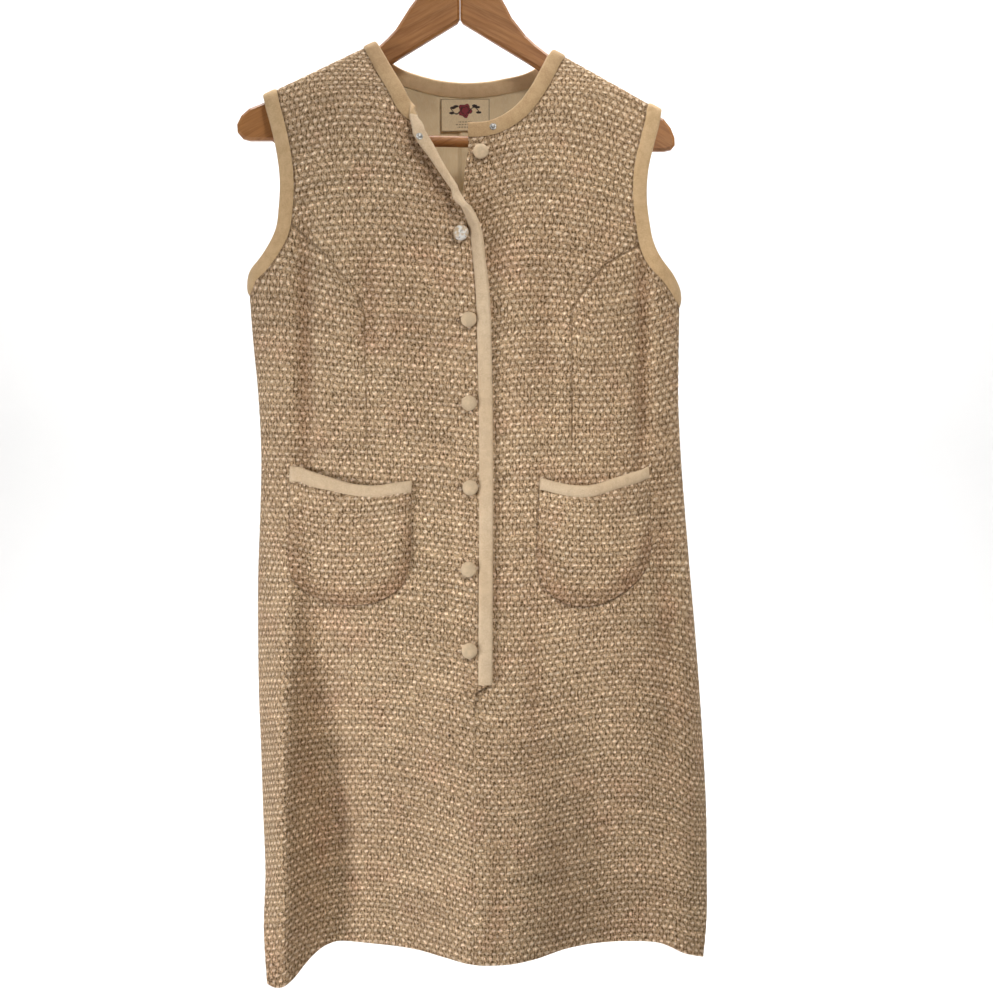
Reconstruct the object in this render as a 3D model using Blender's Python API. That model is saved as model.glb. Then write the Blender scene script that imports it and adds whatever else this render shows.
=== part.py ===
"""A sleeveless sheath dress with a button placket, hung on a flat wooden hanger.

Metres, +Z up, the dress faces -Y. The origin is inside the crown of the hanger hook,
where a rail bears. Every table is in millimetres. "right" and "left" are the wearer's,
so the right front is at -X.
"""

import math

import bmesh
import bpy
import numpy as np
from mathutils import Vector
from mathutils.bvhtree import BVHTree

MM = 0.001

# ---- cloth ----------------------------------------------------------------
WALL = 2.0  # dress cloth with its lining, as one wall
GAP = 0.4  # clearance between cloth that lies on cloth
SEAM = 0.3  # clearance between two panels at a seam
BINDING_WIDTH = 13.5
BINDING_THICK = 1.4
LINING_THICK = 1.0
OVERLAP_LIFT = 4.3  # right front above the left front, with the binding folded under
ARMPIT_RIGHT = -385.0
ARMPIT_LEFT = -396.8
PLACKET_END = -785.0
HEM_LEVEL = -1048.0

# z, left x, right x, left side y, right side y, front depth, back depth, squareness
SECTIONS = [
    (-1080, -181.0, 242.5, -70, -30, 70, 68, 5.0),
    (-1030, -190.5, 249.0, -50, -18, 70, 67, 4.8),
    (-980, -194.0, 250.5, -30, -8, 70, 66, 4.6),
    (-920, -198.5, 250.5, -12, -2, 70, 64, 4.4),
    (-860, -201.8, 247.8, -3, 0, 70, 62, 3.8),
    (-800, -204.6, 244.0, 0, 0, 69, 60, 3.2),
    (-740, -205.6, 239.5, 0, 0, 67, 57, 2.8),
    (-680, -205.5, 234.5, 0, 0, 64, 54, 2.5),
    (-620, -203.5, 229.5, 0, 0, 60, 50, 2.3),
    (-560, -202.5, 225.0, 0, 0, 57, 46, 2.2),
    (-500, -205.3, 222.5, 0, 0, 58, 46, 2.2),
    (-440, -211.0, 223.0, 0, 0, 60, 48, 2.3),
    (-385, -215.2, 224.0, 0, 0, 60, 50, 2.4),
]
# hem: x, front distance, back distance, front z, back z
HEM = [
    (-185, 92, 22, -1079, -1079),
    (-178, 94, 26, -1078, -1076),
    (-164, 80, 34, -1070, -1068),
    (-148, 56, 44, -1055, -1058),
    (-133, 42, 52, -1049, -1051),
    (-108, 36, 62, -1047, -1047),
    (-71, 42, 58, -1047, -1046),
    (-40, 56, 50, -1048, -1045),
    (-12, 78, 46, -1050, -1045),
    (12, 94, 52, -1052, -1046),
    (42, 98, 66, -1052, -1047),
    (73, 90, 72, -1049, -1048),
    (108, 64, 66, -1045, -1047),
    (137, 44, 54, -1045, -1046),
    (171, 38, 46, -1045, -1046),
    (203, 42, 44, -1048, -1049),
    (226, 50, 40, -1058, -1058),
    (245, 50, 30, -1063, -1063),
]
WAVE_TOP = -700.0  # the hem's waves fade out here
WAVE_FULL = -1040.0
# folds: x top, z top, x bottom, z bottom, half width, rise
FRONT_FOLDS = [
    (-92, -380, -92, -480, 48, 5),  # bust fullness
    (114, -380, 112, -480, 48, 5),
    (-152, -330, -150, -580, 20, -5),  # hollows between dart and side seam
    (170, -330, 170, -600, 20, -5),
    (-100, -620, -98, -740, 50, 4),  # fullness behind the pockets
    (122, -620, 124, -740, 50, 4),
    (12, -470, 12, -640, 45, -3),
]
BACK_FOLDS = [
    (-80, -260, -80, -400, 45, 4),
    (92, -260, 92, -400, 45, 4),
    (4, -430, 4, -640, 50, -4),
    (-150, -330, -150, -600, 22, -4),
    (165, -330, 165, -600, 22, -4),
    (-90, -640, -90, -800, 55, 5),
    (105, -640, 105, -800, 55, 5),
]
# shoulder seams: x, z, slope; and the line between the neck points: z, slope, softness
SHOULDER_RIGHT = (-113.2, -152.0, 0.480)
SHOULDER_LEFT = (118.3, -160.1, -0.561)
NECK_LINE = (-134.0, -0.05, 4.0)
SHOULDER_DEPTH = 12.0  # half the depth over the hanger arm
RIDGE = 8.0  # height in which the cloth turns over the arm
LEAN = 165.0  # height in which the cloth reaches its full depth
SWING = 16  # how near the side seam its swing stays

# armhole edges: z, front x, back x
ARM_RIGHT = [
    (-385.0, -215.2, -215.2),
    (-373.0, -210.3, -209.5),
    (-364.6, -201.5, -200.0),
    (-350.0, -190.0, -188.0),
    (-336.5, -182.8, -180.0),
    (-311.5, -178.7, -174.5),
    (-286.2, -177.9, -173.0),
    (-251.8, -182.7, -178.0),
    (-224.2, -189.7, -186.5),
    (-208.0, -194.6, -193.0),
    (-192.9, -198.5, -198.5),
]
ARM_LEFT = [
    (-396.8, 223.9, 223.9),
    (-390.7, 221.5, 221.0),
    (-377.7, 213.5, 212.0),
    (-363.8, 201.4, 199.5),
    (-344.3, 192.2, 189.3),
    (-328.4, 189.1, 185.5),
    (-303.2, 186.2, 182.0),
    (-269.1, 188.7, 184.5),
    (-244.6, 194.8, 191.5),
    (-222.0, 200.8, 199.5),
    (-207.9, 203.5, 203.5),
]
# right front, inner edge laid flat: z, x
EDGE_RIGHT = [
    (-785.0, 30.9),
    (-506.0, 31.3),
    (-457.0, 30.7),
    (-398.0, 28.8),
    (-367.6, 26.3),
    (-347.5, 25.1),
    (-333.5, 23.2),
    (-319.3, 19.8),
    (-310.2, 16.6),
    (-292.2, 8.0),
    (-264.0, -6.2),
    (-235.3, -17.1),
]
# right front neckline: z, x, from the corner to the shoulder
NECK_RIGHT = [
    (-235.3, -17.1),
    (-225.0, -31.0),
    (-214.9, -46.1),
    (-192.0, -58.5),
    (-167.1, -72.2),
    (-145.6, -83.2),
    (-138.0, -87.0),
]
# the line over which the right front's open edge rolls out: z, x, degrees turned
ROLL_LINE = [
    (-785.0, 18.7, 0),
    (-506.0, 18.5, 0),
    (-457.0, 17.5, 6),
    (-398.4, 15.6, 24),
    (-368.9, 13.1, 38),
    (-349.3, 11.7, 48),
    (-335.5, 9.7, 60),
    (-322.0, 6.6, 85),
    (-314.6, 4.4, 102),
    (-298.5, -3.6, 124),
    (-270.9, -18.9, 156),
    (-244.4, -33.8, 160),
    (-216.6, -48.0, 150),
    (-200.0, -44.0, 140),
    (-130.0, -20.0, 140),
]
ROLL_RADIUS = 4.4
AJAR = 6.0  # how far the open corner stands forward
# left front, inner edge: z, x
EDGE_LEFT = [
    (-785.0, 7.4),
    (-408.0, 7.2),
    (-349.0, 5.2),
    (-300.0, 4.7),
    (-275.0, 6.7),
    (-260.0, 9.1),
    (-232.9, 9.0),
]
# left front neckline: x, z
NECK_LEFT = [
    (9.0, -232.9),
    (20.0, -232.6),
    (30.8, -230.7),
    (44.6, -224.2),
    (57.1, -214.5),
    (73.2, -192.3),
    (81.9, -175.2),
    (90.8, -156.2),
    (96.0, -147.7),
]
# back neckline: x, z
NECK_BACK = [
    (-87.0, -141.0),
    (-80.0, -148.5),
    (-70.4, -156.0),
    (-41.8, -167.2),
    (-20.1, -172.0),
    (8.8, -174.0),
    (44.9, -170.3),
    (73.8, -163.1),
    (86.5, -156.0),
    (96.0, -148.6),
]
# centre front seam below the placket: z, x
CENTRE_SEAM = [
    (-1052.0, 14.4),
    (-943.0, 15.0),
    (-857.0, 15.8),
    (-790.0, 16.2),
]

SKIRT_ROWS = [-1048, -1022, -985, -945, -900, -855, -820]
BODY_ROWS = [-735, -685, -635, -585, -535, -485, -440]
# rows of the right front above its side seam: height at the armhole, and on the inner edge
RIGHT_ROWS = [
    (-412, -410),
    (-398, -388),
    (-385, -368),
    (-382, -363),
    (-378, -357),
    (-373, -349),
    (-368, -340),
    (-362, -331),
    (-354, -322),
    (-345, -313),
    (-335, -303),
    (-325, -293),
    (-315, -281),
    (-305, -269),
    (-296, -258),
    (-288, -247),
    (-280, -235.3),
]
RIGHT_NECK_ROWS = [
    (-276, -232.5),
    (-273, -229.5),
    (-270, -226.5),
    (-267, -223.5),
    (-264, -220.5),
    (-261, -217.5),
    (-258, -214.5),
    (-253, -208),
    (-244, -195),
    (-232, -179),
    (-219, -161),
]
# rows of the left front: height at the armhole, and on the inner edge
LEFT_ROWS = [
    (-412, -405),
    (-396.8, -380),
    (-393.5, -374),
    (-390, -365),
    (-384.5, -352),
    (-378, -338),
    (-371, -324),
    (-363, -310),
    (-353, -296),
    (-341, -280),
    (-329, -264),
    (-317, -248),
    (-305, -232.9),
]
# and on its neckline: height at the armhole, x on the neckline
LEFT_NECK_ROWS = [
    (-297, 20.0),
    (-289, 30.8),
    (-281, 38.0),
    (-273, 44.6),
    (-265, 51.0),
    (-257, 57.5),
    (-248, 65.5),
    (-239, 73.5),
    (-230, 81.0),
    (-222, 87.5),
]
RIDGE_ROWS = [12.0, 6.5, 3.0, 0.9, 0.0]  # depths below the shoulder seam
BACK_ROWS = [0.0, 0.015, 0.035, 0.06, 0.1, 0.17, 0.28, 0.42, 0.56, 0.7, 0.82]
BACK_TOP_ROWS = [0.91, 0.957, 0.98, 0.994, 1.0]
BACK_SIDE = [0.0, 0.004, 0.016, 0.036, 0.065, 0.105, 0.16, 0.225]
BACK_MIDDLE = [0.2775, 0.286, 0.305, 0.345, 0.42, 0.5, 0.58, 0.655, 0.705, 0.724, 0.733]

# pockets: top x, top z, bottom x, bottom z
POCKET_RIGHT = [
    (-168.0, -573.0, -169.5, -662.0),
    (-163.5, -573.5, -165.5, -682.0),
    (-152.0, -575.5, -153.5, -695.5),
    (-131.0, -582.5, -133.0, -704.5),
    (-106.0, -590.8, -107.0, -708.8),
    (-80.0, -593.0, -81.0, -705.4),
    (-61.0, -590.0, -61.0, -694.5),
    (-51.0, -588.5, -51.0, -681.0),
    (-46.5, -588.0, -46.5, -660.0),
]
POCKET_LEFT = [
    (79.5, -585.0, 76.0, -662.0),
    (84.0, -586.0, 80.5, -684.0),
    (95.0, -589.2, 92.0, -699.5),
    (112.0, -592.8, 110.0, -708.0),
    (130.0, -592.5, 129.0, -709.5),
    (150.0, -586.0, 151.0, -702.5),
    (170.0, -579.5, 172.0, -688.5),
    (183.5, -575.3, 185.5, -672.0),
    (189.0, -573.6, 190.5, -652.0),
]
POCKET_DOWN = [0.0, 0.07, 0.14, 0.3, 0.5, 0.7, 0.87, 1.0]
POCKET_SAG = 5.0  # how far the middle of a mouth stands out

BUTTON_RADIUS = 7.7
# buttons on the right front: x, z
BUTTONS = [
    (3.0, -342.6),
    (10.0, -427.6),
    (10.4, -509.5),
    (11.4, -592.9),
    (9.9, -673.1),
    (10.6, -751.9),
]
TOP_BUTTON = (21.6, -262.2)  # on the left front
# a button's turned profile: share of the radius, height above the cloth
BUTTON_PROFILE = [
    (0.0, 0.4),
    (0.32, 0.4),
    (0.32, 2.1),
    (0.9, 2.3),
    (1.0, 3.3),
    (0.8, 5.3),
    (0.0, 6.5),
]
SNAP_RADIUS = 3.4
SNAP_LEFT = (33.7, -236.5)
SNAP_RIGHT = (-24.5, -236.0)

LABEL = (-20.6, 30.1, -188.5, -221.5)  # left, right, top, bottom
LINING_SIDES = (-78.0, 88.0)
LINING_BOTTOM = -345.0

# ---- hanger ---------------------------------------------------------------
ARM_THICK = 11.0
ARM_ROUND = 2.6
# right arm outline: x, z
ARM_OUTLINE_RIGHT = [
    (-0.2, -64.3),
    (-16.0, -64.3),
    (-27.5, -70.4),
    (-36.7, -81.6),
    (-44.9, -94.9),
    (-51.0, -103.0),
    (-58.1, -114.2),
    (-65.3, -125.5),
    (-73.5, -134.4),
    (-84.5, -144.6),
    (-112.2, -157.6),
    (-153.0, -177.2),
    (-190.0, -195.4),
    (-203.0, -201.6),
    (-214.2, -206.0),
    (-222.4, -213.2),
    (-227.0, -222.4),
    (-226.4, -230.5),
    (-221.3, -236.6),
    (-214.2, -238.7),
    (-189.0, -238.7),
    (-187.0, -246.8),
    (-181.0, -250.9),
    (-173.5, -250.9),
    (-167.3, -246.0),
    (-166.3, -219.3),
    (-112.2, -186.3),
    (-66.3, -158.1),
    (-0.2, -117.6),
]
ARM_OUTLINE_LEFT = [
    (0.2, -64.3),
    (15.5, -64.3),
    (26.5, -70.4),
    (35.2, -81.6),
    (42.8, -94.9),
    (47.4, -103.0),
    (52.5, -113.2),
    (59.7, -122.4),
    (66.8, -131.6),
    (77.0, -141.0),
    (91.0, -151.9),
    (118.3, -167.0),
    (160.0, -190.2),
    (199.0, -212.2),
    (207.5, -217.0),
    (214.5, -226.0),
    (218.5, -236.0),
    (218.8, -243.5),
    (215.0, -248.0),
    (208.0, -249.5),
    (192.0, -249.5),
    (190.0, -256.0),
    (184.0, -259.0),
    (176.0, -259.0),
    (170.5, -255.0),
    (169.8, -221.6),
    (110.0, -185.0),
    (73.4, -162.2),
    (0.2, -117.6),
]
BAR_RADIUS = 5.7
BAR_ENDS = ((-165.9, -236.0), (169.4, -243.0))
HOOK_WIRE = 1.75  # radius
HOOK_INNER = 18.25  # radius inside the crown, whose top is the origin
HOOK_FOOT = -84.0


def curve(table, column, at):
    """A smooth curve through one column of a table whose first column rises."""
    data = np.array([row[:] for row in table], float)
    xs = data[:, 0]
    ys = data[:, column]
    at = np.clip(np.asarray(at, float), xs[0], xs[-1])
    slope = np.gradient(ys, xs)
    i = np.clip(np.searchsorted(xs, at) - 1, 0, len(xs) - 2)
    h = xs[i + 1] - xs[i]
    t = (at - xs[i]) / h
    start = ys[i] * (2 * t**3 - 3 * t**2 + 1) + h * slope[i] * (t**3 - 2 * t**2 + t)
    end = ys[i + 1] * (3 * t**2 - 2 * t**3) + h * slope[i + 1] * (t**3 - t**2)
    return start + end


def ease(start, end, value):
    t = np.clip((np.asarray(value, float) - start) / (end - start), 0, 1)
    return t * t * (3 - 2 * t)


def shoulder(x):
    """Height of the shoulder seams, and of the line between the neck points."""
    x = np.asarray(x, float)
    lines = []
    for x0, z0, slope in (SHOULDER_RIGHT, SHOULDER_LEFT):
        lines.append(z0 + slope * (x - x0))
    lines.append(NECK_LINE[0] + NECK_LINE[1] * x)
    soft = NECK_LINE[2]
    low = np.minimum(np.minimum(lines[0], lines[1]), lines[2])
    total = sum(np.exp(-(line - low) / soft) for line in lines)
    return low - soft * np.log(total)


def folds(table, x, z):
    rise = 0 * x
    for x_top, z_top, x_bottom, z_bottom, half_width, height in table:
        along = (z_top - z) / (z_top - z_bottom)
        centre = x_top + (x_bottom - x_top) * along
        shape = np.exp(-(((x - centre) / half_width) ** 2))
        rise = rise + height * shape * ease(-0.45, 0.25, along) * ease(1.45, 0.75, along)
    return rise


def skin(x, z, face):
    """y of the outside of the dress; face is -1 for the front and 1 for the back."""
    x = np.asarray(x, float)
    z = np.asarray(z, float)
    left, right, left_y, right_y, front, back, square = [curve(SECTIONS, k, z) for k in range(1, 8)]
    across = np.clip((2 * x - left - right) / (right - left), -1, 1)
    middle = left_y * ((1 - across) / 2) ** SWING + right_y * ((1 + across) / 2) ** SWING
    if face < 0:
        depth = front + folds(FRONT_FOLDS, x, z)
        hem = curve(HEM, 1, x)
    else:
        depth = back + folds(BACK_FOLDS, x, z)
        hem = curve(HEM, 2, x)
    wave = ease(WAVE_TOP, WAVE_FULL, z)
    depth = depth * (1 - wave) + hem * wave
    y = middle + (face * depth - middle) * np.sqrt(1 - np.abs(across) ** square)
    below = np.maximum(shoulder(x) - z, 0)
    lean = 1 - (1 - np.clip(below / LEAN, 0, 1)) ** 2
    y = face * SHOULDER_DEPTH + (y - face * SHOULDER_DEPTH) * lean
    return y * np.sqrt(np.clip(1 - (1 - np.clip(below / RIDGE, 0, 1)) ** 2, 0, 1))


def hem_z(x, z, face):
    """Bends the rows near the hem to the hem's own line."""
    line = curve(HEM, 3 if face < 0 else 4, x)
    return z + (line - HEM_LEVEL) * ease(-880.0, HEM_LEVEL, z)


def side_seam(nominal, column):
    """The side seam's point on a row, given by the row's height before the hem bends it."""
    x = -181.0 if column == 1 else 243.0
    z = nominal
    for _ in range(30):
        z = float(hem_z(x, nominal, -1))
        x = float(curve(SECTIONS, column, z))
    return np.array([x, float(curve(SECTIONS, column + 2, z)), z])


def right_skin(x, z):
    """y of the right front before its edge rolls: it rides over the left front."""
    lift = OVERLAP_LIFT * ease(-6.0, 4.5, x) * ease(-835.0, -793.0, z)
    near = np.exp(-(((x - curve(ROLL_LINE, 1, z)) / 38.0) ** 2))
    return skin(x, z, -1) - lift - AJAR * near * ease(-345.0, -265.0, z) * ease(-140.0, -200.0, z)


def rolled(x, z):
    """Points of the right front: beyond the roll line the cloth turns over outwards."""
    x = np.asarray(x, float)
    z = np.asarray(z, float)
    beyond = 0 * x
    foot = z + 0
    for _ in range(12):
        slope = (curve(ROLL_LINE, 1, foot + 0.5) - curve(ROLL_LINE, 1, foot - 0.5)) / 1.0
        size = np.sqrt(1 + slope**2)
        ux = 1 / size
        uz = -slope / size
        beyond = (x - curve(ROLL_LINE, 1, foot)) / ux
        beyond = np.clip(beyond, -1.0, 40.0)
        foot = z - beyond * uz
    turned = beyond > 0
    foot = np.where(turned, foot, z)
    fx = np.where(turned, curve(ROLL_LINE, 1, foot), x)
    start = np.stack([fx, right_skin(fx, foot), foot], -1)
    step = np.stack([fx - ux, right_skin(fx - ux, foot - uz), foot - uz], -1)
    out = start - step
    out = out / np.linalg.norm(out, axis=-1, keepdims=True)
    along = np.stack([-uz, 0 * uz, ux], -1)
    normal = np.cross(out, along)
    normal = normal / np.linalg.norm(normal, axis=-1, keepdims=True)
    angle = np.radians(np.maximum(curve(ROLL_LINE, 2, foot), 0))
    length = np.where(turned, beyond, 0)
    bend = np.minimum(length / ROLL_RADIUS, angle)
    rest = length - bend * ROLL_RADIUS
    u = ROLL_RADIUS * np.sin(bend) + rest * np.cos(bend)
    n = ROLL_RADIUS * (1 - np.cos(bend)) + rest * np.sin(bend)
    return start + out * u[..., None] + normal * n[..., None]


def grid_normals(points, face):
    """Vertex normals of a grid of rows and columns, pointing out of the dress."""
    a = points[:-1, :-1]
    b = points[:-1, 1:]
    c = points[1:, 1:]
    d = points[1:, :-1]
    flat = np.cross(c - a, d - b) * (1.0 if face < 0 else -1.0)
    flat = flat / np.maximum(np.linalg.norm(flat, axis=-1, keepdims=True), 1e-9)
    total = np.zeros_like(points)
    for rows in (slice(None, -1), slice(1, None)):
        for columns in (slice(None, -1), slice(1, None)):
            total[rows, columns] += flat
    return total / np.maximum(np.linalg.norm(total, axis=-1, keepdims=True), 1e-9)


def level(normals, rows, columns):
    """Takes the y out of the normals along a seam, so that both panels end alike."""
    normals[rows, columns, 1] = 0
    part = normals[rows, columns]
    normals[rows, columns] = part / np.linalg.norm(part, axis=-1, keepdims=True)


def material(name, colour, rough):
    m = bpy.data.materials.new(name)
    m.use_nodes = True
    shader = m.node_tree.nodes["Principled BSDF"]
    shader.inputs["Base Color"].default_value = (*colour, 1)
    shader.inputs["Roughness"].default_value = rough
    m.diffuse_color = (*colour, 1)
    return m


TWEED = (0.52, 0.42, 0.30)
FELT = (0.78, 0.66, 0.46)
IVORY = (0.78, 0.74, 0.62)
WOOD = (0.42, 0.22, 0.10)
CHROME = (0.72, 0.72, 0.74)


def make(name, points, faces, colour, rough=0.85):
    """One closed body from points in millimetres."""
    mesh = bpy.data.meshes.new(name)
    mesh.from_pydata([tuple(p * MM) for p in np.asarray(points, float)], [], faces)
    mesh.validate()
    work = bmesh.new()
    work.from_mesh(mesh)
    bmesh.ops.recalc_face_normals(work, faces=work.faces)
    work.to_mesh(mesh)
    work.free()
    for polygon in mesh.polygons:
        polygon.use_smooth = True
    body = bpy.data.objects.new(name, mesh)
    bpy.context.scene.collection.objects.link(body)
    mesh.materials.append(material(name, colour, rough))
    return body


def wall(name, points, normals, top, bottom, colour):
    """A cloth wall between two offsets of a grid."""
    rows, columns = points.shape[:2]
    count = rows * columns
    outer = (points + normals * top).reshape(-1, 3)
    inner = (points + normals * bottom).reshape(-1, 3)
    faces = []
    for i in range(rows - 1):
        for j in range(columns - 1):
            a = i * columns + j
            for three in ((a, a + 1, a + columns + 1), (a, a + columns + 1, a + columns)):
                faces.append(three)
                faces.append(tuple(count + k for k in reversed(three)))
    rim = [j for j in range(columns)]
    rim += [i * columns + columns - 1 for i in range(1, rows)]
    rim += [(rows - 1) * columns + j for j in range(columns - 2, -1, -1)]
    rim += [i * columns for i in range(rows - 2, 0, -1)]
    for k, a in enumerate(rim):
        b = rim[(k + 1) % len(rim)]
        faces.append((b, a, count + a, count + b))
    return make(name, np.concatenate([outer, inner]), faces, colour)


def tube(name, rings, colour, closed=False, rough=0.85, crossed=()):
    """A body swept through rings that all have as many points.

    crossed names the ring places whose squares are cut along the other diagonal.
    """
    count = len(rings[0])
    faces = []
    last = len(rings) if closed else len(rings) - 1
    for i in range(last):
        for k in range(count):
            a = i * count + k
            b = i * count + (k + 1) % count
            c = ((i + 1) % len(rings)) * count + (k + 1) % count
            d = ((i + 1) % len(rings)) * count + k
            if k in crossed:
                faces.append((a, b, d))
                faces.append((b, c, d))
            else:
                faces.append((a, b, c))
                faces.append((a, c, d))
    if not closed:
        faces.append(tuple(reversed(range(count))))
        faces.append(tuple((len(rings) - 1) * count + k for k in range(count)))
    return make(name, np.concatenate(rings), faces, colour, rough)


class Cloth:
    """The outside of one or more panels, to lay other pieces on."""

    def __init__(self, grids):
        self.points = []
        self.normals = []
        triangles = []
        for points, normals in grids:
            rows, columns = points.shape[:2]
            first = len(self.points)
            self.points += [Vector(p) for p in points.reshape(-1, 3)]
            self.normals += [Vector(n) for n in normals.reshape(-1, 3)]
            for i in range(rows - 1):
                for j in range(columns - 1):
                    a = first + i * columns + j
                    triangles.append((a, a + 1, a + columns + 1))
                    triangles.append((a, a + columns + 1, a + columns))
        self.triangles = triangles
        self.tree = BVHTree.FromPolygons(self.points, triangles)

    def smooth_normal(self, place, index):
        a, b, c = self.triangles[index]
        pa, pb, pc = self.points[a], self.points[b], self.points[c]
        whole = (pb - pa).cross(pc - pa)
        size = max(whole.length_squared, 1e-12)
        wa = (pc - pb).cross(place - pb).dot(whole) / size
        wb = (pa - pc).cross(place - pc).dot(whole) / size
        wc = 1 - wa - wb
        return (self.normals[a] * wa + self.normals[b] * wb + self.normals[c] * wc).normalized()

    def nearest(self, point):
        place, _, index, _ = self.tree.find_nearest(Vector(point))
        return place, self.smooth_normal(place, index)

    def facing(self, x, z, side):
        """The place that a line along Y through (x, z) meets first from that side."""
        start = Vector((x, 400.0 * side, z))
        place, _, index, _ = self.tree.ray_cast(start, Vector((0, -side, 0)))
        return place, self.smooth_normal(place, index)


def folded_profile(places, normals, beyond, gap=GAP, skip=2):
    """A binding's section: down the outside, round the edge and up the inside.

    places run from the edge into the cloth; beyond points out past the edge.
    skip 1 keeps every place on the inside too, where the cloth rolls.
    """
    low = gap
    high = gap + BINDING_THICK
    under = -WALL - gap
    deep = under - BINDING_THICK
    edge = places[0]
    n = normals[0]
    out = [p + m * high for p, m in zip(places[::-1], normals[::-1])]
    out.append(edge + beyond * high + n * (high * 0.3))
    out.append(edge + beyond * high + n * (deep + high * 0.7))
    out += [p + m * deep for p, m in zip(places[::skip], normals[::skip])]
    out += [p + m * under for p, m in zip(places[::-1], normals[::-1])]
    out.append(edge + beyond * low + n * under)
    out.append(edge + beyond * low + n * low)
    out += [p + m * low for p, m in zip(places[1:], normals[1:])]
    return np.array(out)


def march(cloth, edge, normal, inward, width=BINDING_WIDTH, steps=2):
    """Steps into the cloth from an edge point, staying on the cloth."""
    places = [np.array(edge)]
    normals = [np.array(normal)]
    direction = np.array(inward, float)
    for _ in range(steps):
        n = normals[-1]
        direction = direction - n * direction.dot(n)
        direction = direction / np.linalg.norm(direction)
        place, smooth = cloth.nearest(places[-1] + direction * width / steps)
        places.append(np.array(place))
        normals.append(np.array(smooth))
    return places, normals


def bind(name, cloth, edges, normals, into, colour, closed=False, gap=GAP):
    """A binding along a run of edge points; into gives a point inside the cloth for each."""
    edges = [np.array(e, float) for e in edges]
    finer = []
    for k, edge in enumerate(edges):
        finer.append((edge, np.array(normals[k], float), np.array(into[k], float)))
        if k + 1 == len(edges) and not closed:
            break
        other = (k + 1) % len(edges)
        bend = math.degrees(math.acos(min(1.0, float(np.dot(normals[k], normals[other])))))
        parts = max(1, math.ceil(bend / 24.0))
        if closed and k in (0, 1, len(edges) - 2, len(edges) - 1):
            parts = 3
        for part in range(1, parts):
            t = part / parts
            n = normals[k] * (1 - t) + normals[other] * t
            step = into[k] * (1 - t) + into[other] * t
            finer.append((edge * (1 - t) + edges[other] * t, n / np.linalg.norm(n), step))
    edges = [f[0] for f in finer]
    normals = [f[1] for f in finer]
    into = [f[2] for f in finer]
    count = len(edges)
    rings = []
    for k in range(count):
        if closed:
            along = edges[(k + 1) % count] - edges[k - 1]
        else:
            along = edges[min(k + 1, count - 1)] - edges[max(k - 1, 0)]
        along = along / np.linalg.norm(along)
        n = np.array(normals[k], float)
        n = n - along * along.dot(n)
        n = n / np.linalg.norm(n)
        inward = np.cross(n, along)
        if inward.dot(into[k] - edges[k]) < 0:
            inward = -inward
        places, smooth = march(cloth, edges[k], n, inward)
        rings.append(folded_profile(places, smooth, -inward, gap))
    return tube(name, rings, colour, closed)


def row_points(outer, inner, shares, lean, below=None):
    """A row of a front panel from its outer edge to its inner edge, as x and z."""
    x = outer[0] + (inner[0] - outer[0]) * shares
    z = outer[1] + (inner[1] - outer[1]) * shares
    if lean > 0:
        high_outer = shoulder(outer[0]) - outer[1]
        high_inner = shoulder(inner[0]) - inner[1]
        slanted = shoulder(x) - (high_outer + (high_inner - high_outer) * shares)
        z = z * (1 - lean) + slanted * lean
    if below is not None:
        z = shoulder(x) - below
    return x, z


for old in list(bpy.data.objects):
    bpy.data.objects.remove(old, do_unlink=True)

# ---- right front ------------------------------------------------------------
half = SEAM / 2
fine = [0.0, 6.75, 13.5, 15.3, 17.2, 19.2, 22.0, 26.0, 34.0]  # in from the inner edge
rows_x = []
rows_z = []


def right_row(outer, inner, lean=0.0, below=None):
    width = inner[0] - outer[0]
    turn = np.linspace(0, math.radians(84), 11)
    steps = list((1 - np.cos(turn)) / (1 - math.cos(turn[-1])) * (width - fine[-1]))
    steps = np.array(steps[:-1] + [width - f for f in reversed(fine)])
    x, z = row_points(outer, inner, steps / width, lean, below)
    rows_x.append(x)
    rows_z.append(z)


for z in SKIRT_ROWS:
    right_row((side_seam(z, 1)[0], z), (curve(CENTRE_SEAM, 1, z) - half, z))
    rows_z[-1] = hem_z(rows_x[-1], rows_z[-1], -1)
right_row((curve(SECTIONS, 1, -792.0), -792.0), (16.2 - half, -792.0))
right_row((curve(SECTIONS, 1, -785.0), -785.0), (curve(EDGE_RIGHT, 1, -785.0), -785.0))
placket_row = len(rows_x) - 1
for z in BODY_ROWS:
    right_row((curve(SECTIONS, 1, z), z), (curve(EDGE_RIGHT, 1, z), z))
for outer_z, inner_z in RIGHT_ROWS:
    if outer_z <= ARMPIT_RIGHT:
        outer_x = curve(SECTIONS, 1, outer_z)
    else:
        outer_x = curve(ARM_RIGHT, 1, outer_z)
    if outer_z == ARMPIT_RIGHT:
        armpit_right_row = len(rows_x)
    right_row((outer_x, outer_z), (curve(EDGE_RIGHT, 1, inner_z), inner_z))
corner_row = len(rows_x) - 1
for k, (outer_z, inner_z) in enumerate(RIGHT_NECK_ROWS):
    lean = ease(0, len(RIGHT_NECK_ROWS), k + 1)
    inner_x = curve(NECK_RIGHT, 1, inner_z)
    right_row((curve(ARM_RIGHT, 1, outer_z), outer_z), (inner_x, inner_z), lean)
for below in RIDGE_ROWS:
    outer_x = -198.5 + below * 0.25
    inner_x = -86.8 + below * 0.45
    outer = (outer_x, shoulder(outer_x) - below)
    inner = (inner_x, shoulder(inner_x) - below)
    right_row(outer, inner, 1.0, below)
right_front = rolled(np.array(rows_x), np.array(rows_z))
for i, z in enumerate(SKIRT_ROWS):
    right_front[i, 0] = side_seam(z, 1)
right_front[..., 1] -= half
right_normals = grid_normals(right_front, -1)
level(right_normals, slice(0, armpit_right_row + 1), 0)
level(right_normals, -1, slice(None))
wall("front_right", right_front, right_normals, 0.0, -WALL, TWEED)

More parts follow.
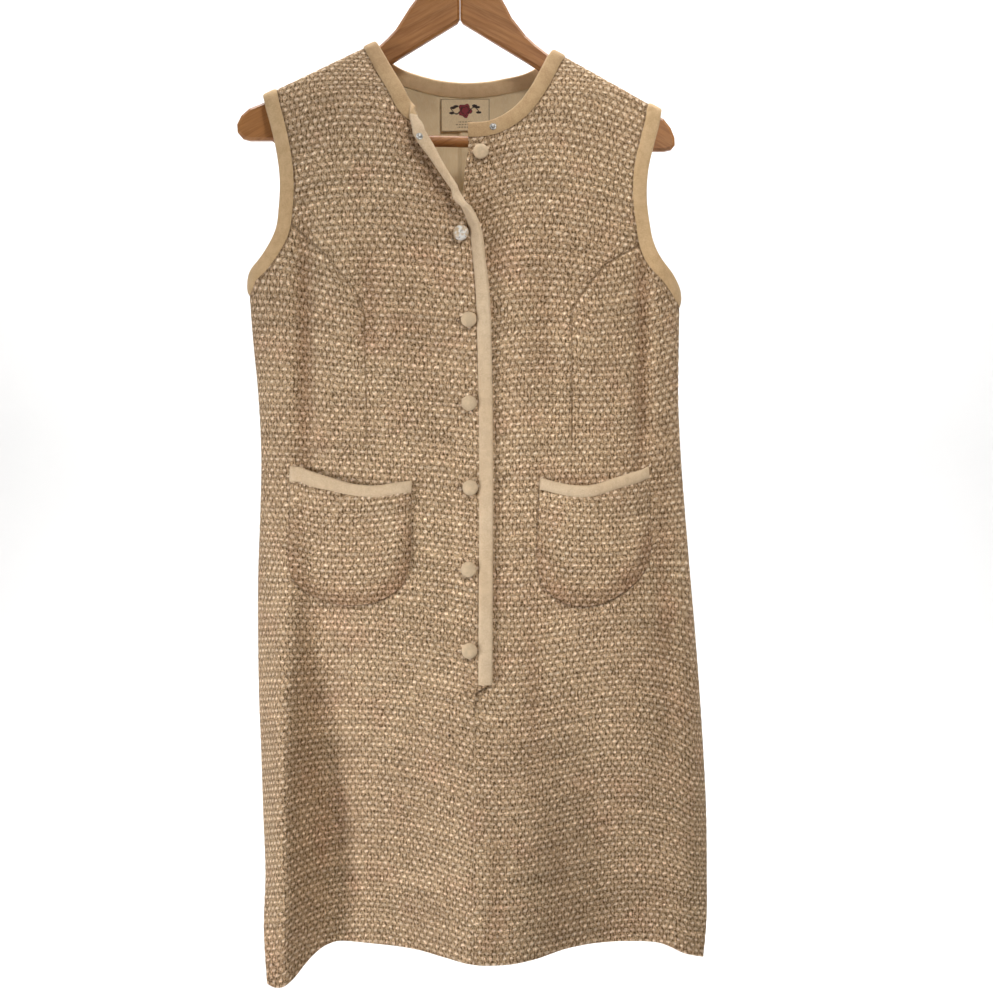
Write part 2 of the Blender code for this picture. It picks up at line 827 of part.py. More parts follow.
# ---- left front -------------------------------------------------------------
rows_x = []
rows_z = []


def left_row(outer, inner, lean=0.0, below=None):
    turn = np.linspace(0, math.radians(84), 14)
    steps = (1 - np.cos(turn)) / (1 - math.cos(turn[-1]))
    x, z = row_points(outer, inner, steps, lean, below)
    rows_x.append(x[::-1])
    rows_z.append(z[::-1])


for z in SKIRT_ROWS:
    left_row((side_seam(z, 2)[0], z), (curve(CENTRE_SEAM, 1, z) + half, z))
    rows_z[-1] = hem_z(rows_x[-1], rows_z[-1], -1)
left_row((curve(SECTIONS, 2, -792.0), -792.0), (16.2 + half, -792.0))
left_row((curve(SECTIONS, 2, -785.0), -785.0), (curve(EDGE_LEFT, 1, -785.0), -785.0))
for z in BODY_ROWS:
    left_row((curve(SECTIONS, 2, z), z), (curve(EDGE_LEFT, 1, z), z))
for outer_z, inner_z in LEFT_ROWS:
    if outer_z <= ARMPIT_LEFT:
        outer_x = curve(SECTIONS, 2, outer_z)
    else:
        outer_x = curve(ARM_LEFT, 1, outer_z)
    if outer_z == ARMPIT_LEFT:
        armpit_left_row = len(rows_x)
    left_row((outer_x, outer_z), (curve(EDGE_LEFT, 1, inner_z), inner_z))
left_corner_row = len(rows_x) - 1
for k, (outer_z, inner_x) in enumerate(LEFT_NECK_ROWS):
    lean = ease(0, len(LEFT_NECK_ROWS), k + 1)
    inner = (inner_x, curve(NECK_LEFT, 1, inner_x))
    left_row((curve(ARM_LEFT, 1, outer_z), outer_z), inner, lean)
for below in RIDGE_ROWS:
    outer_x = 203.5 - below * 0.2
    inner_x = 96.0 - below * 0.45
    outer = (outer_x, shoulder(outer_x) - below)
    inner = (inner_x, shoulder(inner_x) - below)
    left_row(outer, inner, 1.0, below)
rows_x = np.array(rows_x)
rows_z = np.array(rows_z)
left_front = np.stack([rows_x, skin(rows_x, rows_z, -1), rows_z], -1)
for i, z in enumerate(SKIRT_ROWS):
    left_front[i, -1] = side_seam(z, 2)
left_front[..., 1] -= half
left_normals = grid_normals(left_front, -1)
for i in range(len(SKIRT_ROWS) + 1):
    left_normals[i, 0] = right_normals[i, -1]
level(left_normals, slice(0, armpit_left_row + 1), -1)
level(left_normals, -1, slice(None))
wall("front_left", left_front, left_normals, 0.0, -WALL, TWEED)

# ---- back -------------------------------------------------------------------
shares = BACK_SIDE + BACK_MIDDLE + [1 - s for s in reversed(BACK_SIDE)]
shares = np.array(shares)
rows_x = []
rows_z = []
for z in SKIRT_ROWS + [-785] + BODY_ROWS + [-412]:
    left_x = side_seam(z, 1)[0]
    right_x = side_seam(z, 2)[0]
    x = left_x + (right_x - left_x) * shares
    rows_x.append(x)
    rows_z.append(hem_z(x, z + 0 * x, 1))
low = ARMPIT_RIGHT + (ARMPIT_LEFT - ARMPIT_RIGHT) * shares
top_x = -198.5 + (203.5 + 198.5) * shares
top_z = np.where((top_x < -86.5) | (top_x > 95.9), shoulder(top_x), curve(NECK_BACK, 1, top_x))
armpit_back_row = len(rows_x)
for t in BACK_ROWS + BACK_TOP_ROWS:
    z = low + (top_z - low) * t
    left_x = curve(ARM_RIGHT, 2, z[0])
    right_x = curve(ARM_LEFT, 2, z[-1])
    rows_x.append(left_x + (right_x - left_x) * shares)
    rows_z.append(z)
rows_x = np.array(rows_x)
rows_z = np.array(rows_z)
back = np.stack([rows_x, skin(rows_x, rows_z, 1), rows_z], -1)
for i, z in enumerate(SKIRT_ROWS):
    back[i, 0] = side_seam(z, 1)
    back[i, -1] = side_seam(z, 2)
back[..., 1] += half
back_normals = grid_normals(back, 1)
level(back_normals, slice(0, armpit_back_row + 1), 0)
level(back_normals, slice(0, armpit_back_row + 1), -1)
for i in range(len(SKIRT_ROWS)):
    back_normals[i, 0] = right_normals[i, 0]
    back_normals[i, -1] = left_normals[i, -1]
shoulder_columns = len(BACK_SIDE) + 1
level(back_normals, -1, slice(0, shoulder_columns))
level(back_normals, -1, slice(-shoulder_columns, None))
wall("back", back, back_normals, 0.0, -WALL, TWEED)

# ---- bindings ---------------------------------------------------------------
whole = Cloth([(right_front, right_normals), (left_front, left_normals), (back, back_normals)])
back_cloth = Cloth([(back, back_normals)])
left_cloth = Cloth([(left_front, left_normals)])


def armhole(name, front, front_normals, column, front_row, back_column):
    """One binding loop: up the front edge, over the shoulder and down the back edge."""
    inner = -3 if column == 0 else 3
    edges = list(front[front_row:, column])
    normals = list(front_normals[front_row:, column])
    into = [front[i, 2 if column == 0 else -3] for i in range(front_row, len(front))]
    into[0] = edges[0] + np.array([0.0, 0.0, -10.0])
    edges[0] = edges[0] * np.array([1, 0, 1])
    edges[-1] = edges[-1] * np.array([1, 0, 1])
    for i in range(len(back) - 2, armpit_back_row, -1):
        edges.append(back[i, back_column])
        normals.append(back_normals[i, back_column])
        into.append(back[i, -inner - 1 if back_column == 0 else -3])
    return bind(name, whole, edges, normals, into, FELT, True, 0.9)


armhole("armhole_binding_right", right_front, right_normals, 0, armpit_right_row, 0)
armhole("armhole_binding_left", left_front, left_normals, -1, armpit_left_row, -1)


def edge_binding(name, rows, start_shift, end_shift):
    """The binding of the right front's inner edge, from its own columns."""
    rings = []
    for i in rows:
        places = [right_front[i, k] for k in (-1, -2, -3)]
        normals = [right_normals[i, k] for k in (-1, -2, -3)]
        beyond = places[0] - places[1]
        beyond = beyond - normals[0] * normals[0].dot(beyond)
        beyond = beyond / np.linalg.norm(beyond)
        rings.append(folded_profile(places, normals, beyond, skip=1))
    for ring, other, shift in ((0, 1, start_shift), (-1, -2, end_shift)):
        step = rings[other] - rings[ring]
        size = np.linalg.norm(step, axis=-1, keepdims=True)
        rings[ring] = rings[ring] + step * shift / np.maximum(size, 1e-6)
    return tube(name, rings, FELT, crossed=(3, 5, 6, 12, 13))


edge_binding("placket_binding", range(placket_row, corner_row + 1), 0.0, 0.5)
edge_binding("neck_binding_right", range(corner_row, len(right_front)), 0.5, 0.2)

edges = [left_front[i, 0] for i in range(left_corner_row, len(left_front))]
normals = [left_normals[i, 0] for i in range(left_corner_row, len(left_front))]
into = [left_front[i, 4] for i in range(left_corner_row, len(left_front))]
into[0] = edges[0] + np.array([0.0, 0.0, -10.0])
edges[-1] = edges[-1] + (edges[-2] - edges[-1]) * 0.25
bind("neck_binding_left", left_cloth, edges, normals, into, FELT)

neck_columns = range(len(BACK_SIDE) + 1, len(shares) - len(BACK_SIDE) - 1)
edges = [back[-1, j] for j in neck_columns]
normals = [back_normals[-1, j] for j in neck_columns]
into = [back[-5, j] for j in neck_columns]
for end, other in ((0, 1), (-1, -2)):
    edges[end] = edges[end] + (edges[other] - edges[end]) * 0.2
    normals[end] = normals[other]
bind("neck_binding_back", back_cloth, edges, normals, into, FELT, False, 0.8)

# ---- lining and label in the back neck ---------------------------------------
across = np.linspace(LINING_SIDES[0], LINING_SIDES[1], 9)
down = np.linspace(0, 1, 5)
neck_z = curve(NECK_BACK, 1, across) - BINDING_WIDTH - 2.5
points = []
normals = []
for t in down:
    for x, top in zip(across, neck_z):
        place, normal = back_cloth.facing(x, LINING_BOTTOM + (top - LINING_BOTTOM) * t, 1)
        points.append(place)
        normals.append(normal)
points = np.array(points).reshape(len(down), len(across), 3)
normals = np.array(normals).reshape(len(down), len(across), 3)
under = -WALL - GAP
wall("back_lining", points, normals, under, under - LINING_THICK, IVORY)

points = []
normals = []
for z in np.linspace(LABEL[3], LABEL[2], 3):
    for x in np.linspace(LABEL[0], LABEL[1], 5):
        place, normal = back_cloth.facing(x, z, 1)
        points.append(place)
        normals.append(normal)
points = np.array(points).reshape(3, 5, 3)
normals = np.array(normals).reshape(3, 5, 3)
under = -WALL - GAP - LINING_THICK - 0.9
wall("neck_label", points, normals, under, under - 0.8, IVORY)

# ---- pockets ----------------------------------------------------------------
front_cloth = Cloth([(right_front, right_normals), (left_front, left_normals)])


def pocket(name, table):
    points = []
    normals = []
    count = len(table)
    for t in reversed(POCKET_DOWN):
        for k, (top_x, top_z, bottom_x, bottom_z) in enumerate(table):
            x = top_x + (bottom_x - top_x) * t
            z = top_z + (bottom_z - top_z) * t
            place, normal = front_cloth.facing(x, z, -1)
            middle = math.sin(math.pi * k / (count - 1))
            off = 2 * GAP + WALL + (GAP + BINDING_THICK) * (1 - float(ease(0.12, 0.5, t)))
            off += POCKET_SAG * middle * (1 - t) ** 1.5
            off += 1.5 * middle * math.sin(math.pi * t)
            points.append(np.array(place) + np.array(normal) * off)
            normals.append(np.array(normal))
    shape = (len(POCKET_DOWN), count, 3)
    points = np.array(points).reshape(shape)
    normals = np.array(normals).reshape(shape)
    wall(name, points, normals, 0.0, -WALL, TWEED)
    rings = []
    for k in range(count):
        places = [points[-1, k], points[-2, k]]
        length = np.linalg.norm(places[1] - places[0])
        inward = (places[1] - places[0]) / length
        places.append(places[0] + inward * BINDING_WIDTH)
        places[1] = places[0] + inward * BINDING_WIDTH * 0.5
        beyond = -inward
        rings.append(folded_profile(places, [normals[-1, k]] * 3, beyond))
    tube(name.replace("pocket", "pocket_binding"), rings, FELT)


pocket("pocket_right", POCKET_RIGHT)
pocket("pocket_left", POCKET_LEFT)


# ---- buttons and snaps --------------------------------------------------------
def turned(name, place, axis, profile, colour, rough, segments=12):
    """A turned body on a place of the cloth; profile is radius and height."""
    axis = Vector(axis).normalized()
    side = axis.cross(Vector((0, 0, 1))).normalized()
    up = side.cross(axis)
    points = [Vector(place) + axis * profile[0][1]]
    for radius, height in profile[1:-1]:
        for k in range(segments):
            angle = 2 * math.pi * k / segments
            ray = side * math.cos(angle) + up * math.sin(angle)
            points.append(Vector(place) + axis * height + ray * radius)
    points.append(Vector(place) + axis * profile[-1][1])
    faces = []
    rings = len(profile) - 2
    for k in range(segments):
        following = (k + 1) % segments
        faces.append((0, 1 + following, 1 + k))
        for r in range(rings - 1):
            a = 1 + r * segments
            b = a + segments
            faces.append((a + k, a + following, b + following, b + k))
        a = 1 + (rings - 1) * segments
        faces.append((a + k, a + following, len(points) - 1))
    return make(name, points, faces, colour, rough)


profile = [(r * BUTTON_RADIUS, h) for r, h in BUTTON_PROFILE]
place, normal = left_cloth.facing(TOP_BUTTON[0], TOP_BUTTON[1], -1)
turned("button_1", place, normal, profile, FELT, 0.8)
for k, (x, z) in enumerate(BUTTONS):
    place, normal = front_cloth.facing(x, z, -1)
    turned("button_%d" % (k + 2), place, normal, profile, FELT, 0.8)

snap = [(0.0, 0.0), (SNAP_RADIUS, 0.0), (SNAP_RADIUS, 0.8), (SNAP_RADIUS * 0.6, 1.3), (0.0, 1.3)]
place, normal = left_cloth.facing(SNAP_LEFT[0], SNAP_LEFT[1], -1)
seat = np.array(place) + np.array(normal) * (2 * GAP + BINDING_THICK)
turned("snap_left", seat, normal, snap, CHROME, 0.3, 12)
spot = rolled(np.array([SNAP_RIGHT[0], SNAP_RIGHT[0] + 1]), np.array([SNAP_RIGHT[1]] * 2))
right_cloth = Cloth([(right_front, right_normals)])
place, normal = right_cloth.nearest(spot[0])
seat = np.array(place) - np.array(normal) * (WALL + 3 * GAP + BINDING_THICK)
turned("snap_right", seat, -np.array(normal), snap, CHROME, 0.3, 12)


# ---- hanger -------------------------------------------------------------------
def hanger_arm(name, outline):
    count = len(outline)
    points = [(x, -ARM_THICK / 2, z) for x, z in outline]
    points += [(x, ARM_THICK / 2, z) for x, z in outline]
    faces = [tuple(range(count)), tuple(count + k for k in reversed(range(count)))]
    for k in range(count):
        following = (k + 1) % count
        faces.append((following, k, count + k, count + following))
    body = make(name, points, faces, WOOD, 0.45)
    for polygon in body.data.polygons:
        polygon.use_smooth = False
    bevel = body.modifiers.new("round", "BEVEL")
    bevel.width = ARM_ROUND * MM
    bevel.segments = 1
    bevel.limit_method = "ANGLE"
    bevel.angle_limit = math.radians(50)
    hole = body.modifiers.new("hook hole", "BOOLEAN")
    hole.operation = "DIFFERENCE"
    hole.solver = "EXACT"
    hole.object = drill
    return body


bpy.ops.mesh.primitive_cylinder_add(
    vertices=16,
    radius=(HOOK_WIRE + 0.35) * MM,
    depth=0.06,
    location=(0, 0, (HOOK_FOOT - 0.4 + 30) * MM),
)
drill = bpy.context.active_object
drill.name = "hook_drill"
drill.hide_render = True
drill.display_type = "WIRE"
hanger_arm("hanger_arm_right", ARM_OUTLINE_RIGHT)
hanger_arm("hanger_arm_left", ARM_OUTLINE_LEFT)


def swept_round(name, path, radius, segments, colour, rough):
    """A round bar through a path that lies in the XZ plane."""
    path = [np.array((x, 0.0, z)) for x, z in path]
    rings = []
    for k, p in enumerate(path):
        along = path[min(k + 1, len(path) - 1)] - path[max(k - 1, 0)]
        along = along / np.linalg.norm(along)
        side = np.cross(along, (0.0, 1.0, 0.0))
        ring = []
        for s in range(segments):
            angle = 2 * math.pi * s / segments
            ring.append(p + (side * math.cos(angle) + np.array((0, 1.0, 0)) * math.sin(angle)) * radius)
        rings.append(np.array(ring))
    return tube(name, rings, colour, False, rough)


swept_round("hanger_bar", BAR_ENDS, BAR_RADIUS, 20, WOOD, 0.45)

centre = HOOK_INNER + HOOK_WIRE
path = [(0.0, HOOK_FOOT), (0.0, -60.0), (0.0, -52.0), (1.2, -47.0), (5.0, -42.5), (10.2, -38.2)]
for step in range(11):
    angle = math.radians(-47 + step * 23.5)
    path.append((centre * math.cos(angle), -HOOK_INNER + centre * math.sin(angle)))
swept_round("hanger_hook", path, HOOK_WIRE, 8, CHROME, 0.25)
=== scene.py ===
"""A sleeveless tweed sheath dress on a wooden hanger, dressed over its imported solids.

Metres, +Z up, the dress faces -Y. The tables are in millimetres. "right" and "left" are
the wearer's, so the right front is at -X.
"""

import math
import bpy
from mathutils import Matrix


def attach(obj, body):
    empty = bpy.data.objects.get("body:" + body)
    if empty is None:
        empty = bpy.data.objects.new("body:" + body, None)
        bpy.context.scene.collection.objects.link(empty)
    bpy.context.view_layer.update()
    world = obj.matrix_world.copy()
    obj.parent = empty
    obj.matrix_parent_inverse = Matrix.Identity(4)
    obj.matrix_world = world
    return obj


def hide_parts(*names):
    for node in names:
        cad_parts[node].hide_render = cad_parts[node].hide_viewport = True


bl_info = {
    "name": "Sheath dress on a hanger",
    "version": (1, 0, 0),
    "blender": (4, 5, 0),
    "location": "View3D > Sidebar > Dress",
    "description": "Makes the tweed, the bindings, the buttons and the hanger of a sheath dress",
    "category": "Object",
}

import bmesh
import bpy
import numpy as np
from mathutils import Vector
from mathutils.bvhtree import BVHTree

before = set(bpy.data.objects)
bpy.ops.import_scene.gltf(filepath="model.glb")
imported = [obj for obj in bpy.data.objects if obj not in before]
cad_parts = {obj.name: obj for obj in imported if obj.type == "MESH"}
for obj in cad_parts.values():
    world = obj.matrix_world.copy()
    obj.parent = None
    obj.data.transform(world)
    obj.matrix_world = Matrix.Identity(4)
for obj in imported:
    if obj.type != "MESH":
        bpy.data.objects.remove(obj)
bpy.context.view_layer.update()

MM = 0.001


# ---- cloth ----------------------------------------------------------------
SEAM = 0.3  # clearance between two panels at a seam
OVERLAP_LIFT = 4.3  # right front above the left front, with the binding folded under
ARMPIT_RIGHT = -385.0
ARMPIT_LEFT = -396.8
SKIRT_TOP = -790.0  # below the placket's end the two fronts are sewn edge to edge
HEM_LEVEL = -1048.0

# z, left x, right x, left side y, right side y, front depth, back depth, squareness
SECTIONS = [
    (-1080, -187.0, 242.5, -70, -30, 70, 68, 5.0),
    (-1030, -193.0, 249.0, -50, -18, 70, 67, 4.8),
    (-980, -194.0, 250.5, -30, -8, 70, 66, 4.6),
    (-920, -198.5, 250.5, -12, -2, 70, 64, 4.4),
    (-860, -201.8, 247.8, -3, 0, 70, 62, 3.8),
    (-800, -204.6, 244.0, 0, 0, 69, 60, 3.2),
    (-740, -205.6, 239.5, 0, 0, 67, 57, 2.8),
    (-680, -205.5, 234.5, 0, 0, 64, 54, 2.5),
    (-620, -203.5, 229.5, 0, 0, 60, 50, 2.3),
    (-560, -202.5, 225.0, 0, 0, 57, 46, 2.2),
    (-500, -205.3, 222.5, 0, 0, 58, 46, 2.2),
    (-440, -211.0, 223.0, 0, 0, 60, 48, 2.3),
    (-385, -215.2, 224.0, 0, 0, 60, 50, 2.4),
]
# hem: x, front distance, back distance, front z, back z
HEM = [
    (-188, 92, 20, -1077, -1077),
    (-180, 94, 26, -1081.5, -1077),
    (-171, 90, 32, -1081, -1073),
    (-162, 79, 36, -1074.5, -1067),
    (-150, 60, 43, -1061.5, -1060),
    (-138, 45, 50, -1052.5, -1053),
    (-127, 39, 55, -1048.5, -1049.5),
    (-108, 36, 62, -1047, -1047),
    (-71, 42, 58, -1047, -1046),
    (-40, 56, 50, -1048, -1045),
    (-12, 78, 46, -1050, -1045),
    (12, 94, 52, -1052, -1046),
    (42, 98, 66, -1052, -1047),
    (73, 90, 72, -1049, -1048),
    (108, 64, 66, -1045, -1047),
    (137, 44, 54, -1045, -1046),
    (171, 38, 46, -1045, -1046),
    (203, 42, 44, -1048, -1049),
    (226, 50, 40, -1058, -1058),
    (245, 50, 30, -1063, -1063),
]
WAVE_TOP = -700.0  # the hem's waves fade out here
WAVE_FULL = -1040.0
# folds: x top, z top, x bottom, z bottom, half width, rise
FRONT_FOLDS = [
    (-92, -380, -92, -480, 48, 5),  # bust fullness
    (114, -380, 112, -480, 48, 5),
    (-152, -330, -150, -580, 20, -5),  # hollows between dart and side seam
    (170, -330, 170, -600, 20, -5),
    (-100, -620, -98, -740, 50, 4),  # fullness behind the pockets
    (122, -620, 124, -740, 50, 4),
    (12, -470, 12, -640, 45, -3),
]
BACK_FOLDS = [
    (-80, -260, -80, -400, 45, 4),
    (92, -260, 92, -400, 45, 4),
    (4, -430, 4, -640, 50, -4),
    (-150, -330, -150, -600, 22, -4),
    (165, -330, 165, -600, 22, -4),
    (-90, -640, -90, -800, 55, 5),
    (105, -640, 105, -800, 55, 5),
]
# shoulder seams: x, z, slope; and the line between the neck points: z, slope, softness
SHOULDER_RIGHT = (-113.2, -152.0, 0.480)
SHOULDER_LEFT = (118.3, -160.1, -0.561)
NECK_LINE = (-134.0, -0.05, 4.0)
SHOULDER_DEPTH = 12.0  # half the depth over the hanger arm
RIDGE = 8.0  # height in which the cloth turns over the arm
LEAN = 165.0  # height in which the cloth reaches its full depth
SWING = 16  # how near the side seam its swing stays

# armhole edges: z, front x, back x
ARM_RIGHT = [
    (-385.0, -215.2, -215.2),
    (-373.0, -210.3, -209.5),
    (-364.6, -201.5, -200.0),
    (-350.0, -190.0, -188.0),
    (-336.5, -182.8, -180.0),
    (-311.5, -178.7, -174.5),
    (-286.2, -177.9, -173.0),
    (-251.8, -182.7, -178.0),
    (-224.2, -189.7, -186.5),
    (-208.0, -194.6, -193.0),
    (-192.9, -198.5, -198.5),
]
ARM_LEFT = [
    (-396.8, 223.9, 223.9),
    (-390.7, 221.5, 221.0),
    (-377.7, 213.5, 212.0),
    (-363.8, 201.4, 199.5),
    (-344.3, 192.2, 189.3),
    (-328.4, 189.1, 185.5),
    (-303.2, 186.2, 182.0),
    (-269.1, 188.7, 184.5),
    (-244.6, 194.8, 191.5),
    (-222.0, 200.8, 199.5),
    (-207.9, 203.5, 203.5),
]
# right front, inner edge laid flat: z, x
EDGE_RIGHT = [
    (-785.0, 31.5),
    (-506.0, 31.6),
    (-457.0, 30.7),
    (-398.0, 28.8),
    (-367.6, 26.3),
    (-347.5, 25.1),
    (-333.5, 22.9),
    (-319.3, 18.4),
    (-310.2, 14.0),
    (-292.2, 3.8),
    (-264.0, -12.2),
    (-236.5, -22.6),
]
NECK_RIGHT = [
    (-236.5, -22.6),
    (-225.0, -33.6),
    (-214.9, -46.1),
    (-192.0, -58.5),
    (-167.1, -72.2),
    (-145.6, -83.2),
    (-138.0, -87.0),
]
# the line over which the right front's open edge rolls out: z, x, degrees turned
ROLL_LINE = [
    (-785.0, 18.7, 0),
    (-506.0, 18.5, 0),
    (-457.0, 17.5, 6),
    (-398.4, 15.6, 24),
    (-368.9, 13.1, 38),
    (-349.3, 11.7, 48),
    (-335.5, 9.4, 60),
    (-322.0, 5.4, 85),
    (-314.6, 2.2, 102),
    (-298.5, -7.8, 128),
    (-270.9, -25.2, 160),
    (-244.4, -39.6, 164),
    (-216.6, -50.0, 150),
    (-200.0, -44.0, 140),
    (-130.0, -20.0, 140),
]
ROLL_RADIUS = 4.4
AJAR = 6.0  # how far the open corner stands forward
# left front, inner edge: z, x
EDGE_LEFT = [
    (-785.0, 7.4),
    (-408.0, 7.2),
    (-349.0, 5.2),
    (-300.0, 4.7),
    (-275.0, 6.7),
    (-260.0, 9.1),
    (-232.9, 9.0),
]
# left front neckline: x, z
NECK_LEFT = [
    (9.0, -232.9),
    (20.0, -232.6),
    (30.8, -230.7),
    (44.6, -224.2),
    (57.1, -214.5),
    (73.2, -192.3),
    (81.9, -175.2),
    (90.8, -156.2),
    (96.0, -147.7),
]
# back neckline: x, z
NECK_BACK = [
    (-87.0, -141.0),
    (-80.0, -148.5),
    (-70.4, -156.0),
    (-41.8, -167.2),
    (-20.1, -172.0),
    (8.8, -174.0),
    (44.9, -170.3),
    (73.8, -163.1),
    (86.5, -156.0),
    (96.0, -148.6),
]
# centre front seam below the placket: z, x
CENTRE_SEAM = [
    (-1052.0, 14.4),
    (-943.0, 15.0),
    (-857.0, 15.8),
    (-790.0, 16.2),
]

# rows of the right front above its side seam: height at the armhole, and on the inner edge
RIGHT_ROWS = [
    (-412, -410),
    (-398, -388),
    (-385, -368),
    (-382, -363),
    (-378, -357),
    (-373, -349),
    (-368, -340),
    (-362, -331),
    (-354, -322),
    (-345, -313),
    (-335, -303),
    (-325, -293),
    (-315, -281),
    (-305, -269),
    (-296, -258),
    (-288, -247),
    (-280, -235.3),
]
RIGHT_NECK_ROWS = [
    (-276, -232.5),
    (-273, -229.5),
    (-270, -226.5),
    (-267, -223.5),
    (-264, -220.5),
    (-261, -217.5),
    (-258, -214.5),
    (-253, -208),
    (-244, -195),
    (-232, -179),
    (-219, -161),
]
# rows of the left front: height at the armhole, and on the inner edge
LEFT_ROWS = [
    (-412, -405),
    (-396.8, -380),
    (-393.5, -374),
    (-390, -365),
    (-384.5, -352),
    (-378, -338),
    (-371, -324),
    (-363, -310),
    (-353, -296),
    (-341, -280),
    (-329, -264),
    (-317, -248),
    (-305, -232.9),
]
# and on its neckline: height at the armhole, x on the neckline
LEFT_NECK_ROWS = [
    (-297, 20.0),
    (-289, 30.8),
    (-281, 38.0),
    (-273, 44.6),
    (-265, 51.0),
    (-257, 57.5),
    (-248, 65.5),
    (-239, 73.5),
    (-230, 81.0),
    (-222, 87.5),
]
# pockets: top x, top z, bottom x, bottom z
POCKET_RIGHT = [
    (-168.0, -573.0, -169.5, -662.0),
    (-163.5, -573.5, -165.5, -682.0),
    (-152.0, -575.5, -153.5, -695.5),
    (-131.0, -582.5, -133.0, -704.5),
    (-106.0, -590.8, -107.0, -708.8),
    (-80.0, -593.0, -81.0, -705.4),
    (-61.0, -590.0, -61.0, -694.5),
    (-51.0, -588.5, -51.0, -681.0),
    (-46.5, -588.0, -46.5, -660.0),
]
POCKET_LEFT = [
    (79.5, -585.0, 76.0, -662.0),
    (84.0, -586.0, 80.5, -684.0),
    (95.0, -589.2, 92.0, -699.5),
    (112.0, -592.8, 110.0, -708.0),
    (130.0, -592.5, 129.0, -709.5),
    (150.0, -586.0, 151.0, -702.5),
    (170.0, -579.5, 172.0, -688.5),
    (183.5, -575.3, 185.5, -672.0),
    (189.0, -573.6, 190.5, -652.0),
]
POCKET_SAG = 5.0  # how far the middle of a mouth stands out

# buttons on the right front: x, z
BUTTONS = [
    (3.0, -342.6),
    (10.0, -427.6),
    (10.4, -509.5),
    (11.4, -592.9),
    (9.9, -673.1),
    (10.6, -751.9),
]
TOP_BUTTON = (21.6, -262.2)  # on the left front
# the two halves of the snap: x, z
SNAP_LEFT = (33.7, -236.5)
SNAP_RIGHT = (-21.9, -242.5)

LABEL = (-20.6, 30.1, -187.5, -219.5)  # left, right, top, bottom
LINING_SIDES = (-78.0, 88.0)
LINING_BOTTOM = -345.0


def curve(table, column, at):
    """A smooth curve through one column of a table whose first column rises."""
    data = np.array(table, float)
    xs = data[:, 0]
    ys = data[:, column]
    at = np.clip(np.asarray(at, float), xs[0], xs[-1])
    slope = np.gradient(ys, xs)
    i = np.clip(np.searchsorted(xs, at) - 1, 0, len(xs) - 2)
    h = xs[i + 1] - xs[i]
    t = (at - xs[i]) / h
    start = ys[i] * (2 * t**3 - 3 * t**2 + 1) + h * slope[i] * (t**3 - 2 * t**2 + t)
    end = ys[i + 1] * (3 * t**2 - 2 * t**3) + h * slope[i + 1] * (t**3 - t**2)
    return start + end


def ease(start, end, value):
    t = np.clip((np.asarray(value, float) - start) / (end - start), 0, 1)
    return t * t * (3 - 2 * t)


def shoulder(x):
    """Height of the shoulder seams, and of the line between the neck points."""
    x = np.asarray(x, float)
    lines = []
    for x0, z0, slope in (SHOULDER_RIGHT, SHOULDER_LEFT):
        lines.append(z0 + slope * (x - x0))
    lines.append(NECK_LINE[0] + NECK_LINE[1] * x)
    soft = NECK_LINE[2]
    low = np.minimum(np.minimum(lines[0], lines[1]), lines[2])
    total = sum(np.exp(-(line - low) / soft) for line in lines)
    return low - soft * np.log(total)


def folds(table, x, z):
    rise = 0 * x
    for x_top, z_top, x_bottom, z_bottom, half_width, height in table:
        along = (z_top - z) / (z_top - z_bottom)
        centre = x_top + (x_bottom - x_top) * along
        shape = np.exp(-(((x - centre) / half_width) ** 2))
        rise = rise + height * shape * ease(-0.45, 0.25, along) * ease(1.45, 0.75, along)
    return rise


def skin(x, z, face):
    """y of the outside of the dress; face is -1 for the front and 1 for the back."""
    x = np.asarray(x, float)
    z = np.asarray(z, float)
    left, right, left_y, right_y, front, back, square = [curve(SECTIONS, k, z) for k in range(1, 8)]
    across = np.clip((2 * x - left - right) / (right - left), -1, 1)
    middle = left_y * ((1 - across) / 2) ** SWING + right_y * ((1 + across) / 2) ** SWING
    if face < 0:
        depth = front + folds(FRONT_FOLDS, x, z)
        hem = curve(HEM, 1, x)
    else:
        depth = back + folds(BACK_FOLDS, x, z)
        hem = curve(HEM, 2, x)
    wave = ease(WAVE_TOP, WAVE_FULL, z)
    depth = depth * (1 - wave) + hem * wave
    y = middle + (face * depth - middle) * np.sqrt(1 - np.abs(across) ** square)
    below = np.maximum(shoulder(x) - z, 0)
    lean = 1 - (1 - np.clip(below / LEAN, 0, 1)) ** 2
    y = face * SHOULDER_DEPTH + (y - face * SHOULDER_DEPTH) * lean
    return y * np.sqrt(np.clip(1 - (1 - np.clip(below / RIDGE, 0, 1)) ** 2, 0, 1))


def hem_z(x, z, face):
    """Bends the rows near the hem to the hem's own line."""
    line = curve(HEM, 3 if face < 0 else 4, x)
    return z + (line - HEM_LEVEL) * ease(-880.0, HEM_LEVEL, z)


def side_seam(nominal, column):
    """The side seam's point on a row, given by the row's height before the hem bends it."""
    x = -187.0 if column == 1 else 243.0
    z = nominal
    for _ in range(30):
        z = float(hem_z(x, nominal, -1))
        x = float(curve(SECTIONS, column, z))
    return np.array([x, float(curve(SECTIONS, column + 2, z)), z])


def right_skin(x, z):
    """y of the right front before its edge rolls: it rides over the left front."""
    lift = OVERLAP_LIFT * ease(-6.0, 4.5, x) * ease(-822.0, -791.0, z)
    near = np.exp(-(((x - curve(ROLL_LINE, 1, z)) / 38.0) ** 2))
    return skin(x, z, -1) - lift - AJAR * near * ease(-345.0, -265.0, z) * ease(-140.0, -200.0, z)


